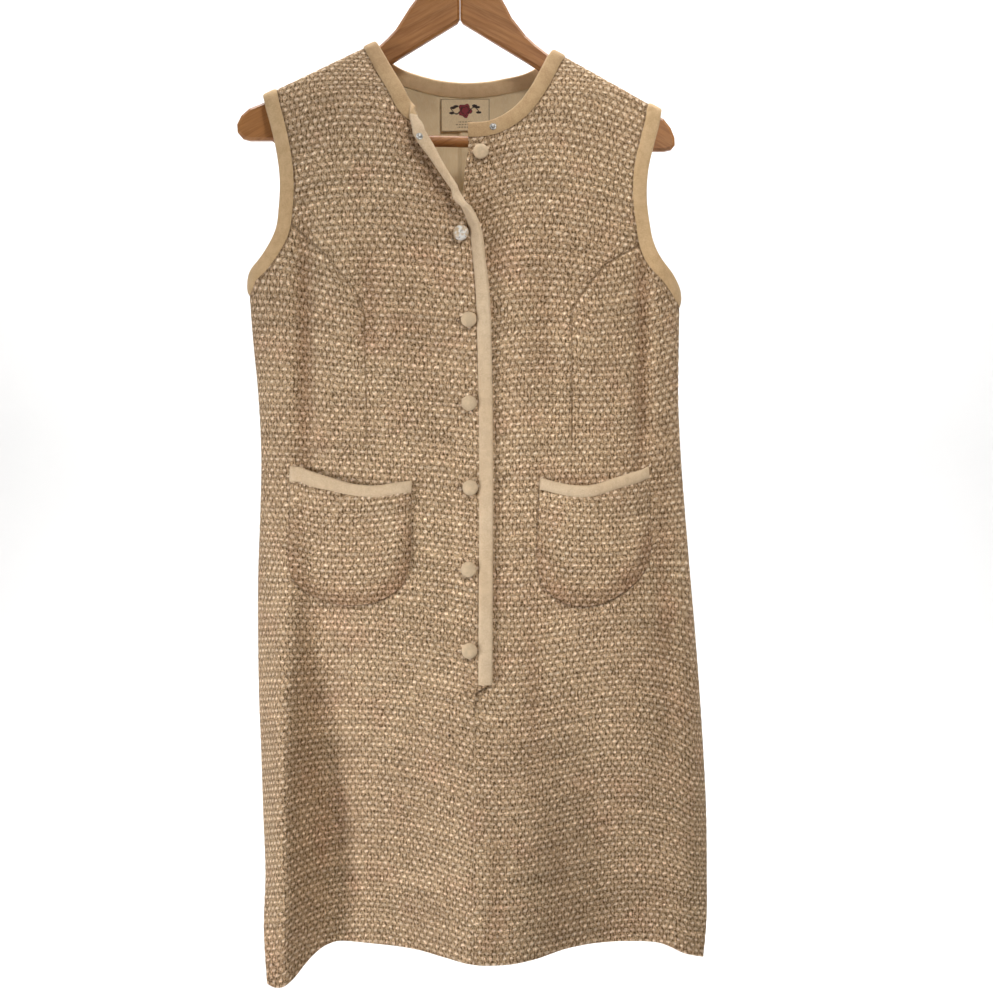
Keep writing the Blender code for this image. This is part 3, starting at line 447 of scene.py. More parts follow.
def rolled(x, z):
    """Points of the right front: beyond the roll line the cloth turns over outwards."""
    x = np.asarray(x, float)
    z = np.asarray(z, float)
    beyond = 0 * x
    foot = z + 0
    for _ in range(12):
        slope = (curve(ROLL_LINE, 1, foot + 0.5) - curve(ROLL_LINE, 1, foot - 0.5)) / 1.0
        size = np.sqrt(1 + slope**2)
        ux = 1 / size
        uz = -slope / size
        beyond = (x - curve(ROLL_LINE, 1, foot)) / ux
        beyond = np.clip(beyond, -1.0, 40.0)
        foot = z - beyond * uz
    turned = beyond > 0
    foot = np.where(turned, foot, z)
    fx = np.where(turned, curve(ROLL_LINE, 1, foot), x)
    start = np.stack([fx, flat_right(fx, foot), foot], -1)
    step = np.stack([fx - ux, flat_right(fx - ux, foot - uz), foot - uz], -1)
    out = start - step
    out = out / np.linalg.norm(out, axis=-1, keepdims=True)
    along = np.stack([-uz, 0 * uz, ux], -1)
    normal = np.cross(out, along)
    normal = normal / np.linalg.norm(normal, axis=-1, keepdims=True)
    angle = np.radians(np.maximum(curve(ROLL_LINE, 2, foot), 0))
    length = np.where(turned, beyond, 0)
    bend = np.minimum(length / ROLL_RADIUS, angle)
    rest = length - bend * ROLL_RADIUS
    u = ROLL_RADIUS * np.sin(bend) + rest * np.cos(bend)
    n = ROLL_RADIUS * (1 - np.cos(bend)) + rest * np.sin(bend)
    return start + out * u[..., None] + normal * n[..., None]


def grid_normals(points, face):
    """Vertex normals of a grid of rows and columns, pointing out of the dress."""
    a = points[:-1, :-1]
    b = points[:-1, 1:]
    c = points[1:, 1:]
    d = points[1:, :-1]
    flat = np.cross(c - a, d - b) * (1.0 if face < 0 else -1.0)
    flat = flat / np.maximum(np.linalg.norm(flat, axis=-1, keepdims=True), 1e-9)
    total = np.zeros_like(points)
    for rows in (slice(None, -1), slice(1, None)):
        for columns in (slice(None, -1), slice(1, None)):
            total[rows, columns] += flat
    return total / np.maximum(np.linalg.norm(total, axis=-1, keepdims=True), 1e-9)


def level(normals, rows, columns):
    """Takes the y out of the normals along a seam, so that both panels end alike."""
    normals[rows, columns, 1] = 0
    part = normals[rows, columns]
    normals[rows, columns] = part / np.linalg.norm(part, axis=-1, keepdims=True)


def row_points(outer, inner, shares, lean, below=None):
    """A row of a front panel from its outer edge to its inner edge, as x and z."""
    x = outer[0] + (inner[0] - outer[0]) * shares
    z = outer[1] + (inner[1] - outer[1]) * shares
    if lean > 0:
        high_outer = shoulder(outer[0]) - outer[1]
        high_inner = shoulder(inner[0]) - inner[1]
        slanted = shoulder(x) - (high_outer + (high_inner - high_outer) * shares)
        z = z * (1 - lean) + slanted * lean
    if below is not None:
        z = shoulder(x) - below
    return x, z


# ---- the looks' own sizes, in millimetres ------------------------------------
COARSE = 4  # the plain inside has one square for so many of the fine outside
ROW_BODICE = 6.05  # spacing of the weave's rows in the bodice
ROW_SKIRT = 5.45  # and in the skirt
ROW_YOKE = 6.4  # and above the armholes
CENTRE_X = 16.0  # the line down the front that the cloth's grain follows

# soft hollows and ripples: x top, z top, x bottom, z bottom, half width, rise
FRONT_RIPPLES = [
    (-154, -345, -154, -570, 9, -6.5),
    (-136, -370, -134, -560, 15, 2.6),
    (183, -360, 183, -570, 9, -6.5),
    (164, -380, 165, -560, 15, 2.6),
    (-91, -366, -90, -436, 12, -2.6),
    (-60, -380, -62, -520, 20, 1.8),
    (84, -330, 90, -470, 13, -2.0),
    (132, -400, 135, -560, 17, 2.4),
    (60, -400, 62, -560, 14, 1.6),
    (-20, -690, -16, -1000, 38, 3.6),
    (84, -720, 84, -1010, 28, -1.1),
    (72, -730, 74, -840, 9, -1.2),
    (38, -930, 36, -1040, 12, -1.8),
    (166, -650, 172, -980, 30, 3.4),
    (98, -900, 100, -1050, 16, -0.5),
    (203, -600, 210, -840, 13, -3.4),
    (-60, -640, -64, -900, 24, 1.8),
    (-60, -250, -110, -330, 16, 1.5),
    (100, -250, 150, -320, 18, 1.4),
    (-112, -480, -110, -600, 14, -1.0),
    (-120, -205, -150, -260, 14, -1.8),
    (140, -205, 165, -265, 14, -1.6),
    (-88, -205, -96, -300, 15, -1.4),
    (64, -470, 68, -600, 14, 1.6),
    (-30, -300, -34, -420, 16, -1.6),
]
BACK_RIPPLES = [
    (-62, -300, -68, -540, 13, -3.4),
    (-92, -320, -98, -560, 15, 2.2),
    (80, -280, 86, -560, 14, -3.6),
    (112, -300, 118, -560, 15, 2.2),
    (12, -420, 16, -620, 18, -3.4),
    (-142, -500, -152, -780, 15, -3.8),
    (172, -520, 178, -800, 15, -3.6),
    (-34, -680, -44, -1010, 22, 4.2),
    (58, -690, 74, -1020, 20, -4.6),
    (-104, -720, -114, -1050, 18, -4.4),
    (126, -740, 142, -1050, 20, 4.0),
    (-20, -230, -60, -300, 16, 1.6),
    (60, -230, 100, -310, 16, 1.6),
    (-110, -250, -130, -330, 14, -1.8),
    (130, -250, 150, -330, 14, -1.8),
]
# the deep fold at the skirt's right: z, crest x, hollow x, crest forward, hollow back
DEEP_FOLD = [
    (-1090, -182, -126, 3, 0),
    (-1010, -181, -125, 13, 16),
    (-940, -180, -127, 16, 24),
    (-860, -178, -131, 16, 24),
    (-780, -175, -137, 14, 19),
    (-710, -171, -143, 9, 10),
    (-640, -166, -149, 3, 3),
    (-580, -164, -150, 0, 0),
]
# The threads of the fronts as they hang, seen from the camera, by height z: spacing of the
# rows; how a row tilts, bows and curls from the front's middle to THREAD_REACH out; how far
# the upright threads lean sideways; spacing of the nubs along a row.
THREADS = {
    "right": [
        (-1030, 5.3, -7, -24, 7, 0, 6.4),
        (-890, 5.5, -5, -14, 1, -1.5, 6.8),
        (-750, 5.65, -5, -5.5, -1.5, -2, 7.0),
        (-610, 5.85, -5.5, -1.5, -1.5, 0, 7.25),
        (-470, 6.15, -3.5, -3, 0, 5.5, 7.6),
        (-330, 6.5, -2, -9.5, 2, 15, 8.0),
        (-190, 6.6, -10, -19, 3, 28, 8.1),
    ],
    "left": [
        (-1030, 5.75, 19, -7.5, -10, -5, 7.1),
        (-890, 5.5, 16, -12, -13, -5.5, 7.0),
        (-750, 5.65, 11.5, -5.5, -8, -1.5, 7.0),
        (-610, 5.9, 5.5, 2, 1, 0, 7.0),
        (-470, 6.05, -4.5, 3.5, 9, -4.5, 7.3),
        (-330, 6.25, -18, -5.5, 10, -14, 7.7),
        (-190, 7.15, -22, -28.5, -3, -26, 7.5),
    ],
}
THREAD_REACH = 90.0
THREAD_MIDDLE = {"right": -86.7, "left": 132.6}  # x
THREAD_EDGES = {"right": (-179.6, 20.4), "left": (20.4, 236.6)}  # beyond, they follow the cloth
THREAD_HEIGHTS = (-1030.0, -190.0)
# side panels beside a dart: rise of the rows at the middle and more of it at the reach, and
# the same for the lean of the upright threads
SIDE_TURN = {"right": (-12, 34, -6, -9), "left": (2, 27, 17, 9)}
SIDE_TURN_FOOT = -574.0  # it starts here and is whole SIDE_TURN_RISE higher
SIDE_TURN_RISE = 204.0
# the darts' seams: x, z from the bust up to the armhole
DART_RIGHT = [
    (-91.9, -555.3),
    (-92.1, -486.3),
    (-93.3, -418.6),
    (-102.3, -397.7),
    (-133.0, -361.6),
    (-167.0, -329.3),
    (-184.0, -318.0),
]
DART_LEFT = [
    (111.9, -543.4),
    (111.8, -486.2),
    (111.6, -417.4),
    (120.6, -402.4),
    (144.8, -371.7),
    (180.7, -349.9),
    (196.0, -341.0),
]
BACK_DARTS = [
    [(-78.0, -640.0), (-79.0, -560.0), (-80.0, -480.0), (-82.0, -400.0)],
    [(94.0, -640.0), (95.0, -560.0), (95.0, -480.0), (96.0, -400.0)],
]


def ripples(x, z, face):
    """Soft hollows that the panels' solids are too coarse for."""
    table = FRONT_RIPPLES if face < 0 else BACK_RIPPLES
    rise = folds(table, x, z)
    for k, (wide, tall, size) in enumerate(((47, 190, 0.5), (31, 120, 0.35), (83, 71, 0.4))):
        phase = 1.7 * k + (0.0 if face < 0 else 2.3)
        rise = rise + size * np.sin(x / wide * 2.1 + phase) * np.cos(z / tall * 2.3 + phase * 2)
    return rise


def deep_fold(x, z):
    """How far the deep fold at the right front's side stands forward of the plain form."""
    crest, hollow, forward, back = [curve(DEEP_FOLD, k, z) for k in range(1, 5)]
    gap = hollow - crest
    swell = np.exp(-(((x - crest) / np.where(x < crest, 24.0, 0.6 * gap)) ** 2))
    sunk = np.exp(-(((x - hollow) / np.where(x < hollow, 0.62 * gap, 24.0)) ** 2))
    front = hollow + 36.0
    lip = np.exp(-(((x - front) / np.where(x < front, 17.0, 60.0)) ** 2))
    return forward * swell + back * (0.28 * lip - sunk)


def surface(x, z, face):
    """y of a panel's outside with its ripples, which die out at the seams and the shoulder."""
    x = np.asarray(x, float)
    z = np.asarray(z, float)
    left = curve(SECTIONS, 1, z)
    right = curve(SECTIONS, 2, z)
    across = np.clip((2 * x - left - right) / (right - left), -1, 1)
    calm = ease(1.0, 0.86, np.abs(across)) * ease(4.0, 50.0, shoulder(x) - z)
    rise = ripples(x, z, face)
    if face < 0:
        rise = rise + deep_fold(x, z)
    return skin(x, z, face) + face * rise * calm


def along_table(table, share):
    """Points evenly along a table of x and z, as a smooth curve."""
    data = np.array(table, float)
    steps = np.concatenate([[0], np.cumsum(np.linalg.norm(np.diff(data, axis=0), axis=1))])
    rows = np.column_stack([steps, data])
    at = np.asarray(share, float) * steps[-1]
    return np.stack([curve(rows, 1, at), curve(rows, 2, at)], -1)


def distance_to(line, x, z):
    """Distance of each point from a polyline, in the plane of x and z."""
    best = np.full(np.shape(x), 1e6)
    for (ax, az), (bx, bz) in zip(line[:-1], line[1:]):
        dx = bx - ax
        dz = bz - az
        t = np.clip(((x - ax) * dx + (z - az) * dz) / (dx * dx + dz * dz), 0, 1)
        best = np.minimum(best, np.hypot(x - ax - dx * t, z - az - dz * t))
    return best


def seen(points):
    """x and z of points as they show from the camera, on the plane through the hanger."""
    x0, y0, z0 = [value / MM for value in CAMERA_AT]
    near = -y0 / (points[..., 1] - y0)
    return x0 + (points[..., 0] - x0) * near, z0 + (points[..., 2] - z0) * near


def thread_place(name, x, z, side):
    """Numbers of the column and of the row of a front's threads at a place seen from the front."""
    table = THREADS[name]
    spacing, tilt, bow, curl, lean, nub = [curve(table, k, z) for k in range(1, 7)]
    heights = np.linspace(*THREAD_HEIGHTS, 400)
    each = 1 / curve(table, 1, heights)
    count = np.concatenate([[0], np.cumsum((each[1:] + each[:-1]) / 2 * np.diff(heights))])
    away = x - THREAD_MIDDLE[name]
    out = away / THREAD_REACH
    up, more_up, over, more_over = SIDE_TURN[name]
    turn = side * np.clip((z - SIDE_TURN_FOOT) / SIDE_TURN_RISE, 0, None) ** 2
    rise = out * (tilt + out * (bow + out * curl)) + turn * (up + more_up * np.abs(out))
    lean = lean + turn * (over + more_over * np.abs(out))
    return (away + lean) / nub, np.interp(z, heights, count) - rise / spacing


def weave_rows(z):
    """Number of the weave's row at a height."""
    turn = -560.0
    soft = 90.0
    mean = (1 / ROW_BODICE + 1 / ROW_SKIRT) / 2
    half = (1 / ROW_BODICE - 1 / ROW_SKIRT) / 2
    return (z - turn) * mean + half * soft * np.log(np.cosh((z - turn) / soft))


def unevenness(a, b, seed):
    """A smooth wander of the threads, without any random numbers."""
    total = 0.0
    for k in range(5):
        fa = 0.021 * (1.45**k)
        fb = 0.017 * (1.52**k)
        total = total + np.sin(a * fa * 6 + b * fb * 2.3 + seed * (k + 1.3)) * 0.62**k
        total = total + np.sin(b * fb * 5 - a * fa * 1.7 + seed * (k + 2.1) * 1.9) * 0.62**k
    return total / 3.0


def even_columns(xs, ys, zs, count):
    """Shares that cut each row into even steps along the cloth, and its length."""
    steps = np.sqrt(np.diff(xs, axis=1) ** 2 + np.diff(ys, axis=1) ** 2 + np.diff(zs, axis=1) ** 2)
    length = np.concatenate([np.zeros((len(xs), 1)), np.cumsum(steps, axis=1)], axis=1)
    out_x = np.empty((len(xs), count))
    out_z = np.empty((len(xs), count))
    out_s = np.empty((len(xs), count))
    for i in range(len(xs)):
        even = np.linspace(0, length[i, -1], count)
        out_x[i] = np.interp(even, length[i], xs[i])
        out_z[i] = np.interp(even, length[i], zs[i])
        out_s[i] = even
    return out_x, out_z, out_s


def spread(rows, count, lift):
    """Rows of a front, (outer x, outer z, inner x, inner z, lean, below), as even fine columns."""
    turn = np.linspace(0, math.pi / 2, 260)
    shares = 1 - np.cos(turn)
    xs = []
    zs = []
    for outer_x, outer_z, inner_x, inner_z, lean, below in rows:
        drop = below if below >= 0 else None
        x, z = row_points((outer_x, outer_z), (inner_x, inner_z), shares, lean, drop)
        if below < 0 and outer_z < SKIRT_TOP:
            z = hem_z(x, z, -1)
        xs.append(x)
        zs.append(z)
    xs = np.array(xs)
    zs = np.array(zs)
    return even_columns(xs, lift(xs, zs), zs, count)


def side_places(column, heights):
    """The side seam at many heights: x, y and z."""
    few = np.linspace(heights[0], heights[-1], 24)
    found = np.array([side_seam(z, column) for z in few])
    return np.stack([np.interp(heights, few, found[:, k]) for k in range(3)], -1)


def steps_between(start, end, step):
    return np.linspace(start, end, max(2, int(round(abs(end - start) / step)) + 1))


def fit_rows(rows):
    """Trims a list of rows to a whole number of coarse squares."""
    extra = (len(rows) - 1) % COARSE
    for k in range(extra):
        rows.pop(2 + 3 * k)
    return rows


SKIRT_LOW = steps_between(HEM_LEVEL, -792.0, 1.6)


def lay_right():
    """The right front, fine: its flat x and z, its distance along each row, and its points."""
    half = SEAM / 2
    sides = side_places(1, SKIRT_LOW)
    rows = []
    for z, side in zip(SKIRT_LOW, sides):
        rows.append((side[0], z, float(curve(CENTRE_SEAM, 1, z)) - half, z, 0.0, -1.0))
    for z in steps_between(-785.0, -440.0, 1.6):
        rows.append((float(curve(SECTIONS, 1, z)), z, float(curve(EDGE_RIGHT, 1, z)), z, 0.0, -1.0))
    levels = [(-440.0, -440.0)] + [(inner, outer) for outer, inner in RIGHT_ROWS]
    for inner_z in steps_between(-440.0, EDGE_RIGHT[-1][0], 1.6)[1:]:
        outer_z = float(curve(levels, 1, inner_z))
        outer_x = outer_edge_x(outer_z, 1)
        rows.append((outer_x, outer_z, float(curve(EDGE_RIGHT, 1, inner_z)), inner_z, 0.0, -1.0))
    levels = [(-235.3, -280.0)] + [(inner, outer) for outer, inner in RIGHT_NECK_ROWS]
    levels.append((-150.0, -206.5))
    for inner_z in steps_between(-235.3, -150.0, 1.6)[1:]:
        outer_z = float(curve(levels, 1, inner_z))
        lean = float(ease(-235.3, -158.0, inner_z))
        inner_x = float(curve(NECK_RIGHT, 1, inner_z))
        rows.append((float(curve(ARM_RIGHT, 1, outer_z)), outer_z, inner_x, inner_z, lean, -1.0))
    rows += ridge_rows(-198.5, 0.25, -86.8, 0.45)
    rows = fit_rows(rows)
    x, z, s = spread(rows, 37 * COARSE + 1, flat_right)
    points = rolled(x, z)
    low = [i for i, row in enumerate(rows) if row[1] < SKIRT_TOP]
    points[low, 0] = side_places(1, np.array([rows[i][1] for i in low]))
    points[..., 1] -= half
    u = (x[:, -1:] - CENTRE_X) - (s[:, -1:] - s)
    return rows, x, z, u, points


def outer_edge_x(z, column):
    """x of a front panel's outer edge: the side seam, and above the armpit the armhole."""
    if column == 1:
        return float(curve(SECTIONS, 1, z) if z <= ARMPIT_RIGHT else curve(ARM_RIGHT, 1, z))
    return float(curve(SECTIONS, 2, z) if z <= ARMPIT_LEFT else curve(ARM_LEFT, 1, z))


def ridge_rows(outer_x, outer_slope, inner_x, inner_slope):
    """Rows of the last few millimetres below the shoulder seam, closer towards the top."""
    rows = []
    for t in np.linspace(0, 1, 14)[1:]:
        below = 11.0 * (1 - t) ** 2
        a = outer_x + below * outer_slope
        b = inner_x + below * inner_slope
        rows.append((a, float(shoulder(a)) - below, b, float(shoulder(b)) - below, 1.0, below))
    return rows


def lay_left():
    """The left front, fine, as lay_right gives it."""
    half = SEAM / 2
    sides = side_places(2, SKIRT_LOW)
    rows = []
    for z, side in zip(SKIRT_LOW, sides):
        rows.append((side[0], z, float(curve(CENTRE_SEAM, 1, z)) + half, z, 0.0, -1.0))
    for z in steps_between(-785.0, -440.0, 1.6):
        rows.append((float(curve(SECTIONS, 2, z)), z, float(curve(EDGE_LEFT, 1, z)), z, 0.0, -1.0))
    levels = [(-440.0, -440.0)] + [(inner, outer) for outer, inner in LEFT_ROWS]
    for inner_z in steps_between(-440.0, -232.9, 1.6)[1:]:
        outer_z = float(curve(levels, 1, inner_z))
        outer_x = outer_edge_x(outer_z, 2)
        rows.append((outer_x, outer_z, float(curve(EDGE_LEFT, 1, inner_z)), inner_z, 0.0, -1.0))
    levels = [(9.0, -305.0)] + [(inner, outer) for outer, inner in LEFT_NECK_ROWS]
    levels.append((91.0, -216.0))
    for inner_x in steps_between(9.0, 91.0, 1.3)[1:]:
        outer_z = float(curve(levels, 1, inner_x))
        lean = float(ease(9.0, 84.0, inner_x))
        inner_z = float(curve(NECK_LEFT, 1, inner_x))
        rows.append((float(curve(ARM_LEFT, 1, outer_z)), outer_z, inner_x, inner_z, lean, -1.0))
    rows += ridge_rows(203.5, -0.2, 96.0, -0.45)
    rows = fit_rows(rows)
    x, z, s = spread(rows, 34 * COARSE + 1, lambda a, b: surface(a, b, -1))
    x, z, s = x[:, ::-1], z[:, ::-1], s[:, ::-1]
    points = np.stack([x, surface(x, z, -1), z], -1)
    low = [i for i, row in enumerate(rows) if row[1] < SKIRT_TOP]
    points[low, -1] = side_places(2, np.array([rows[i][1] for i in low]))
    points[..., 1] -= half
    u = (x[:, :1] - CENTRE_X) + (s[:, :1] - s)
    return rows, x, z, u, points


def flat_right(x, z):
    """y of the right front before its edge rolls, ripples and all."""
    return right_skin(x, z) + surface(x, z, -1) - skin(x, z, -1)


def lay_back():
    """The back, fine: rows from the hem to the neckline, columns from right to left."""
    half = SEAM / 2
    count = 54 * COARSE + 1
    shares = (1 - np.cos(np.linspace(0, math.pi, 520))) / 2
    rows = []
    xs = []
    zs = []
    step = 2.05
    low = steps_between(HEM_LEVEL, -792.0, step)
    right_side = side_places(1, low)
    left_side = side_places(2, low)
    for z, a, b in zip(low, right_side, left_side):
        x = a[0] + (b[0] - a[0]) * shares
        rows.append(z)
        xs.append(x)
        zs.append(hem_z(x, z + 0 * x, 1))
    for z in steps_between(SKIRT_TOP, -400.0, step):
        left = float(curve(SECTIONS, 1, z))
        right = float(curve(SECTIONS, 2, z))
        rows.append(z)
        xs.append(left + (right - left) * shares)
        zs.append(z + (ARMPIT_LEFT - ARMPIT_RIGHT) * shares * ease(-560.0, -400.0, z))
    base = zs[-1]
    top_x = -198.5 + 402.0 * shares
    on_shoulder = (top_x < -86.5) | (top_x > 95.9)
    top_z = np.where(on_shoulder, shoulder(top_x), curve(NECK_BACK, 1, top_x))
    tall = np.linspace(0, 1, 118)[1:]
    for t in tall:
        t = 1 - (1 - t) ** 1.12
        z = base + (top_z - base) * t
        left = outer_edge_x(float(z[0]), 1) if z[0] <= ARMPIT_RIGHT else float(curve(ARM_RIGHT, 2, z[0]))
        right = outer_edge_x(float(z[-1]), 2) if z[-1] <= ARMPIT_LEFT else float(curve(ARM_LEFT, 2, z[-1]))
        rows.append(z[0])
        xs.append(left + (right - left) * shares)
        zs.append(z)
    for _ in range((len(rows) - 1) % COARSE):
        rows.pop(3)
        xs.pop(3)
        zs.pop(3)
    xs = np.array(xs)
    zs = np.array(zs)
    x, z, s = even_columns(xs, surface(xs, zs, 1), zs, count)
    points = np.stack([x, surface(x, z, 1), z], -1)
    low = [i for i, value in enumerate(rows) if value < -791]
    heights = np.array([rows[i] for i in low])
    points[low, 0] = side_places(1, heights)
    points[low, -1] = side_places(2, heights)
    points[..., 1] += half
    middle = np.array([np.interp(CENTRE_X, x[i], s[i]) for i in range(len(x))])
    return rows, x, z, s - middle[:, None], points


# ---- meshes -------------------------------------------------------------------
def finish_mesh(name, mesh, materials):
    body = bpy.data.objects.new(name, mesh)
    bpy.context.scene.collection.objects.link(body)
    for one in materials:
        mesh.materials.append(one)
    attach(body, "root")
    return body


def smooth(mesh, degrees):
    for polygon in mesh.polygons:
        polygon.use_smooth = True
    mesh.set_sharp_from_angle(angle=math.radians(degrees))


def put_map(mesh, name, values):
    """A UV map from one pair of values for each point."""
    layer = mesh.uv_layers.new(name=name)
    places = np.empty(len(mesh.loops), int)
    mesh.loops.foreach_get("vertex_index", places)
    layer.data.foreach_set("uv", np.asarray(values, float)[places].ravel())


def put_value(mesh, name, values):
    layer = mesh.attributes.new(name, "FLOAT", "POINT")
    layer.data.foreach_set("value", np.asarray(values, float).ravel())


def nub_height(p, q):
    """Relief of the weave, 0 to 1: one nub for each place, alternate rows set off by half."""
    row = np.floor(q)
    p = p + 0.5 * np.mod(row, 2)
    across = p - np.floor(p) - 0.5
    up = q - row - 0.5
    bump = np.clip(1 - (across / 0.47) ** 2, 0, 1) * np.clip(1 - (up / 0.5) ** 2, 0, 1)
    vary = 0.75 + 0.25 * np.sin(np.floor(p) * 12.9898 + row * 78.233)
    return bump**0.8 * vary


def shell(name, points, normals, p, q, relief, seam, worn, materials):
    """A thin closed shell: a fine woven outside, a plain inside, and a rim between them."""
    rows, columns = points.shape[:2]
    fine = points + normals * (nub_height(p, q) * relief)[..., None]
    fine = fine.reshape(-1, 3)
    inner = (points - normals * measure("shell"))[::COARSE, ::COARSE]
    r, c = inner.shape[:2]
    first = rows * columns
    verts = np.concatenate([fine, inner.reshape(-1, 3)])
    i, j = np.meshgrid(np.arange(rows - 1), np.arange(columns - 1), indexing="ij")
    a = (i * columns + j).ravel()
    quads = np.stack([a, a + 1, a + columns + 1, a + columns], 1)
    i, j = np.meshgrid(np.arange(r - 1), np.arange(c - 1), indexing="ij")
    b = (first + i * c + j).ravel()
    inside = np.stack([b, b + c, b + c + 1, b + 1], 1)
    rim = []
    border = [(0, k) for k in range(columns - 1)]
    border += [(k, columns - 1) for k in range(rows - 1)]
    border += [(rows - 1, k) for k in range(columns - 1, 0, -1)]
    border += [(k, 0) for k in range(rows - 1, 0, -1)]
    for k in range(0, len(border), COARSE):
        five = [border[(k + n) % len(border)] for n in range(COARSE + 1)]
        d = [x * columns + y for x, y in five]
        low = first + (five[0][0] // COARSE) * c + five[0][1] // COARSE
        high = first + (five[-1][0] // COARSE) * c + five[-1][1] // COARSE
        middle = COARSE // 2
        for n in range(COARSE):
            rim.append((d[n + 1], d[n], low if n < middle else high))
        rim.append((low, high, d[middle]))
    faces = quads.tolist() + inside.tolist() + rim
    mesh = bpy.data.meshes.new(name)
    mesh.from_pydata((verts * MM).tolist(), [], faces)
    whole = np.concatenate([np.stack([p, q], -1).reshape(-1, 2), np.zeros((r * c, 2))])
    put_map(mesh, "weave", whole)
    put_value(mesh, "seam", np.concatenate([seam.ravel(), np.full(r * c, 9.0)]))
    put_value(mesh, "worn", np.concatenate([worn.ravel(), np.zeros(r * c)]))
    slots = np.zeros(len(faces), int)
    slots[len(quads):len(quads) + len(inside)] = 1
    mesh.polygons.foreach_set("material_index", slots)
    middle = len(fine) // 2 + columns // 2
    turn_out(mesh, fine[middle], normals.reshape(-1, 3)[middle])
    smooth(mesh, 75)
    return finish_mesh(name, mesh, materials)


def turn_out(mesh, place, normal):
    """Turns every face over if the face by a place looks the wrong way."""
    mesh.update()
    place = Vector(place) * MM
    centres = np.empty(len(mesh.polygons) * 3)
    mesh.polygons.foreach_get("center", centres)
    near = int(np.argmin(np.linalg.norm(centres.reshape(-1, 3) - np.array(place), axis=1)))
    if mesh.polygons[near].normal.dot(Vector(normal)) < 0:
        mesh.flip_normals()


def ring_tube(name, rings, materials, closed=False, degrees=50.0):
    """A closed body through rings of points, with its length and its girth as a UV map."""
    rings = np.array(rings, float)
    many, count = rings.shape[:2]
    faces = []
    last = many if closed else many - 1
    for i in range(last):
        for k in range(count):
            a = i * count + k
            b = i * count + (k + 1) % count
            c = ((i + 1) % many) * count + (k + 1) % count
            d = ((i + 1) % many) * count + k
            faces.append((a, b, c, d))
    if not closed:
        faces.append(tuple(reversed(range(count))))
        faces.append(tuple((many - 1) * count + k for k in range(count)))
    mesh = bpy.data.meshes.new(name)
    mesh.from_pydata((rings.reshape(-1, 3) * MM).tolist(), [], faces)
    work = bmesh.new()
    work.from_mesh(mesh)
    bmesh.ops.recalc_face_normals(work, faces=work.faces)
    work.to_mesh(mesh)
    work.free()
    middle = rings.mean(axis=1)
    run = np.concatenate([[0], np.cumsum(np.linalg.norm(np.diff(middle, axis=0), axis=1))])
    u = np.repeat(run[:, None], count, axis=1)
    v = np.repeat(np.arange(count)[None, :] / count, many, axis=0)
    put_map(mesh, "strip", np.stack([u * 0.1, v], -1).reshape(-1, 2))
    smooth(mesh, degrees)
    return finish_mesh(name, mesh, materials)


# ---- the dress's cloth, laid once and shared -----------------------------------
CLOTH = {}


def lay_cloth():
    if CLOTH:
        return
    for name, lay, face in (("right", lay_right, -1), ("left", lay_left, -1), ("back", lay_back, 1)):
        rows, x, z, u, points = lay()
        normals = grid_normals(points, face)
        CLOTH[name] = {"rows": rows, "x": x, "z": z, "u": u, "points": points, "normals": normals}
    right = CLOTH["right"]["normals"]
    left = CLOTH["left"]["normals"]
    back = CLOTH["back"]["normals"]
    level(right, slice(None), 0)
    level(left, slice(None), -1)
    level(back, slice(None), 0)
    level(back, slice(None), -1)
    for grid in (right, left):
        level(grid, -1, slice(None))
    ends = np.abs(CLOTH["back"]["x"][-1] - 4.7) > 91.0
    level(back, -1, np.nonzero(ends)[0])


def below_dart(line, x, z, side):
    """1 on the side panel beyond a dart seam, 0 elsewhere."""
    data = np.array(line, float)
    data = data[np.argsort(data[:, 1])]
    seam_x = np.interp(z, data[:, 1], data[:, 0])
    inside = (x - seam_x) * side > 0
    return (inside & (z < data[-1, 1]) & (z > data[0, 1])).astype(float)


def cloth_run(points, axis):
    """Distance along the cloth from a grid's first column (axis 1) or row (axis 0)."""
    steps = np.linalg.norm(np.diff(points, axis=axis), axis=-1)
    start = np.zeros_like(steps).take([0], axis)
    return np.concatenate([start, np.cumsum(steps, axis=axis)], axis)


def front_threads(name, x, points):
    """Lattice places of a front's threads: as they show in front, and even along the cloth beyond."""
    across, height = seen(points)
    line, side = (DART_RIGHT, -1) if name == "right" else (DART_LEFT, 1)
    panel = below_dart(line, x, points[..., 2], side)
    left, right = THREAD_EDGES[name]
    low, high = THREAD_HEIGHTS
    held_x = np.clip(across, left, right)
    held_z = np.clip(height, low, high)
    p, q = thread_place(name, held_x, held_z, panel)
    run = cloth_run(points, 1)
    for i in range(len(x)):
        order = np.argsort(across[i])
        start, end = np.interp((left, right), across[i][order], run[i][order])
        beyond = np.where(across[i] < left, run[i] - start, 0)
        beyond = beyond + np.where(across[i] > right, run[i] - end, 0)
        p[i] += beyond / measure("nub_across")
    tilt = thread_place(name, held_x + 1.0, held_z, panel)[1] - q
    q = q + np.clip(tilt, -0.03, 0.03) * (across - held_x) * 0.5
    rise = cloth_run(points, 0)
    for j in range(x.shape[1]):
        order = np.argsort(height[:, j])
        start, end = np.interp((low, high), height[:, j][order], rise[:, j][order])
        q[:, j] += np.where(height[:, j] > high, rise[:, j] - end, 0) / ROW_YOKE
        q[:, j] += np.where(height[:, j] < low, rise[:, j] - start, 0) / ROW_SKIRT
    return p, q


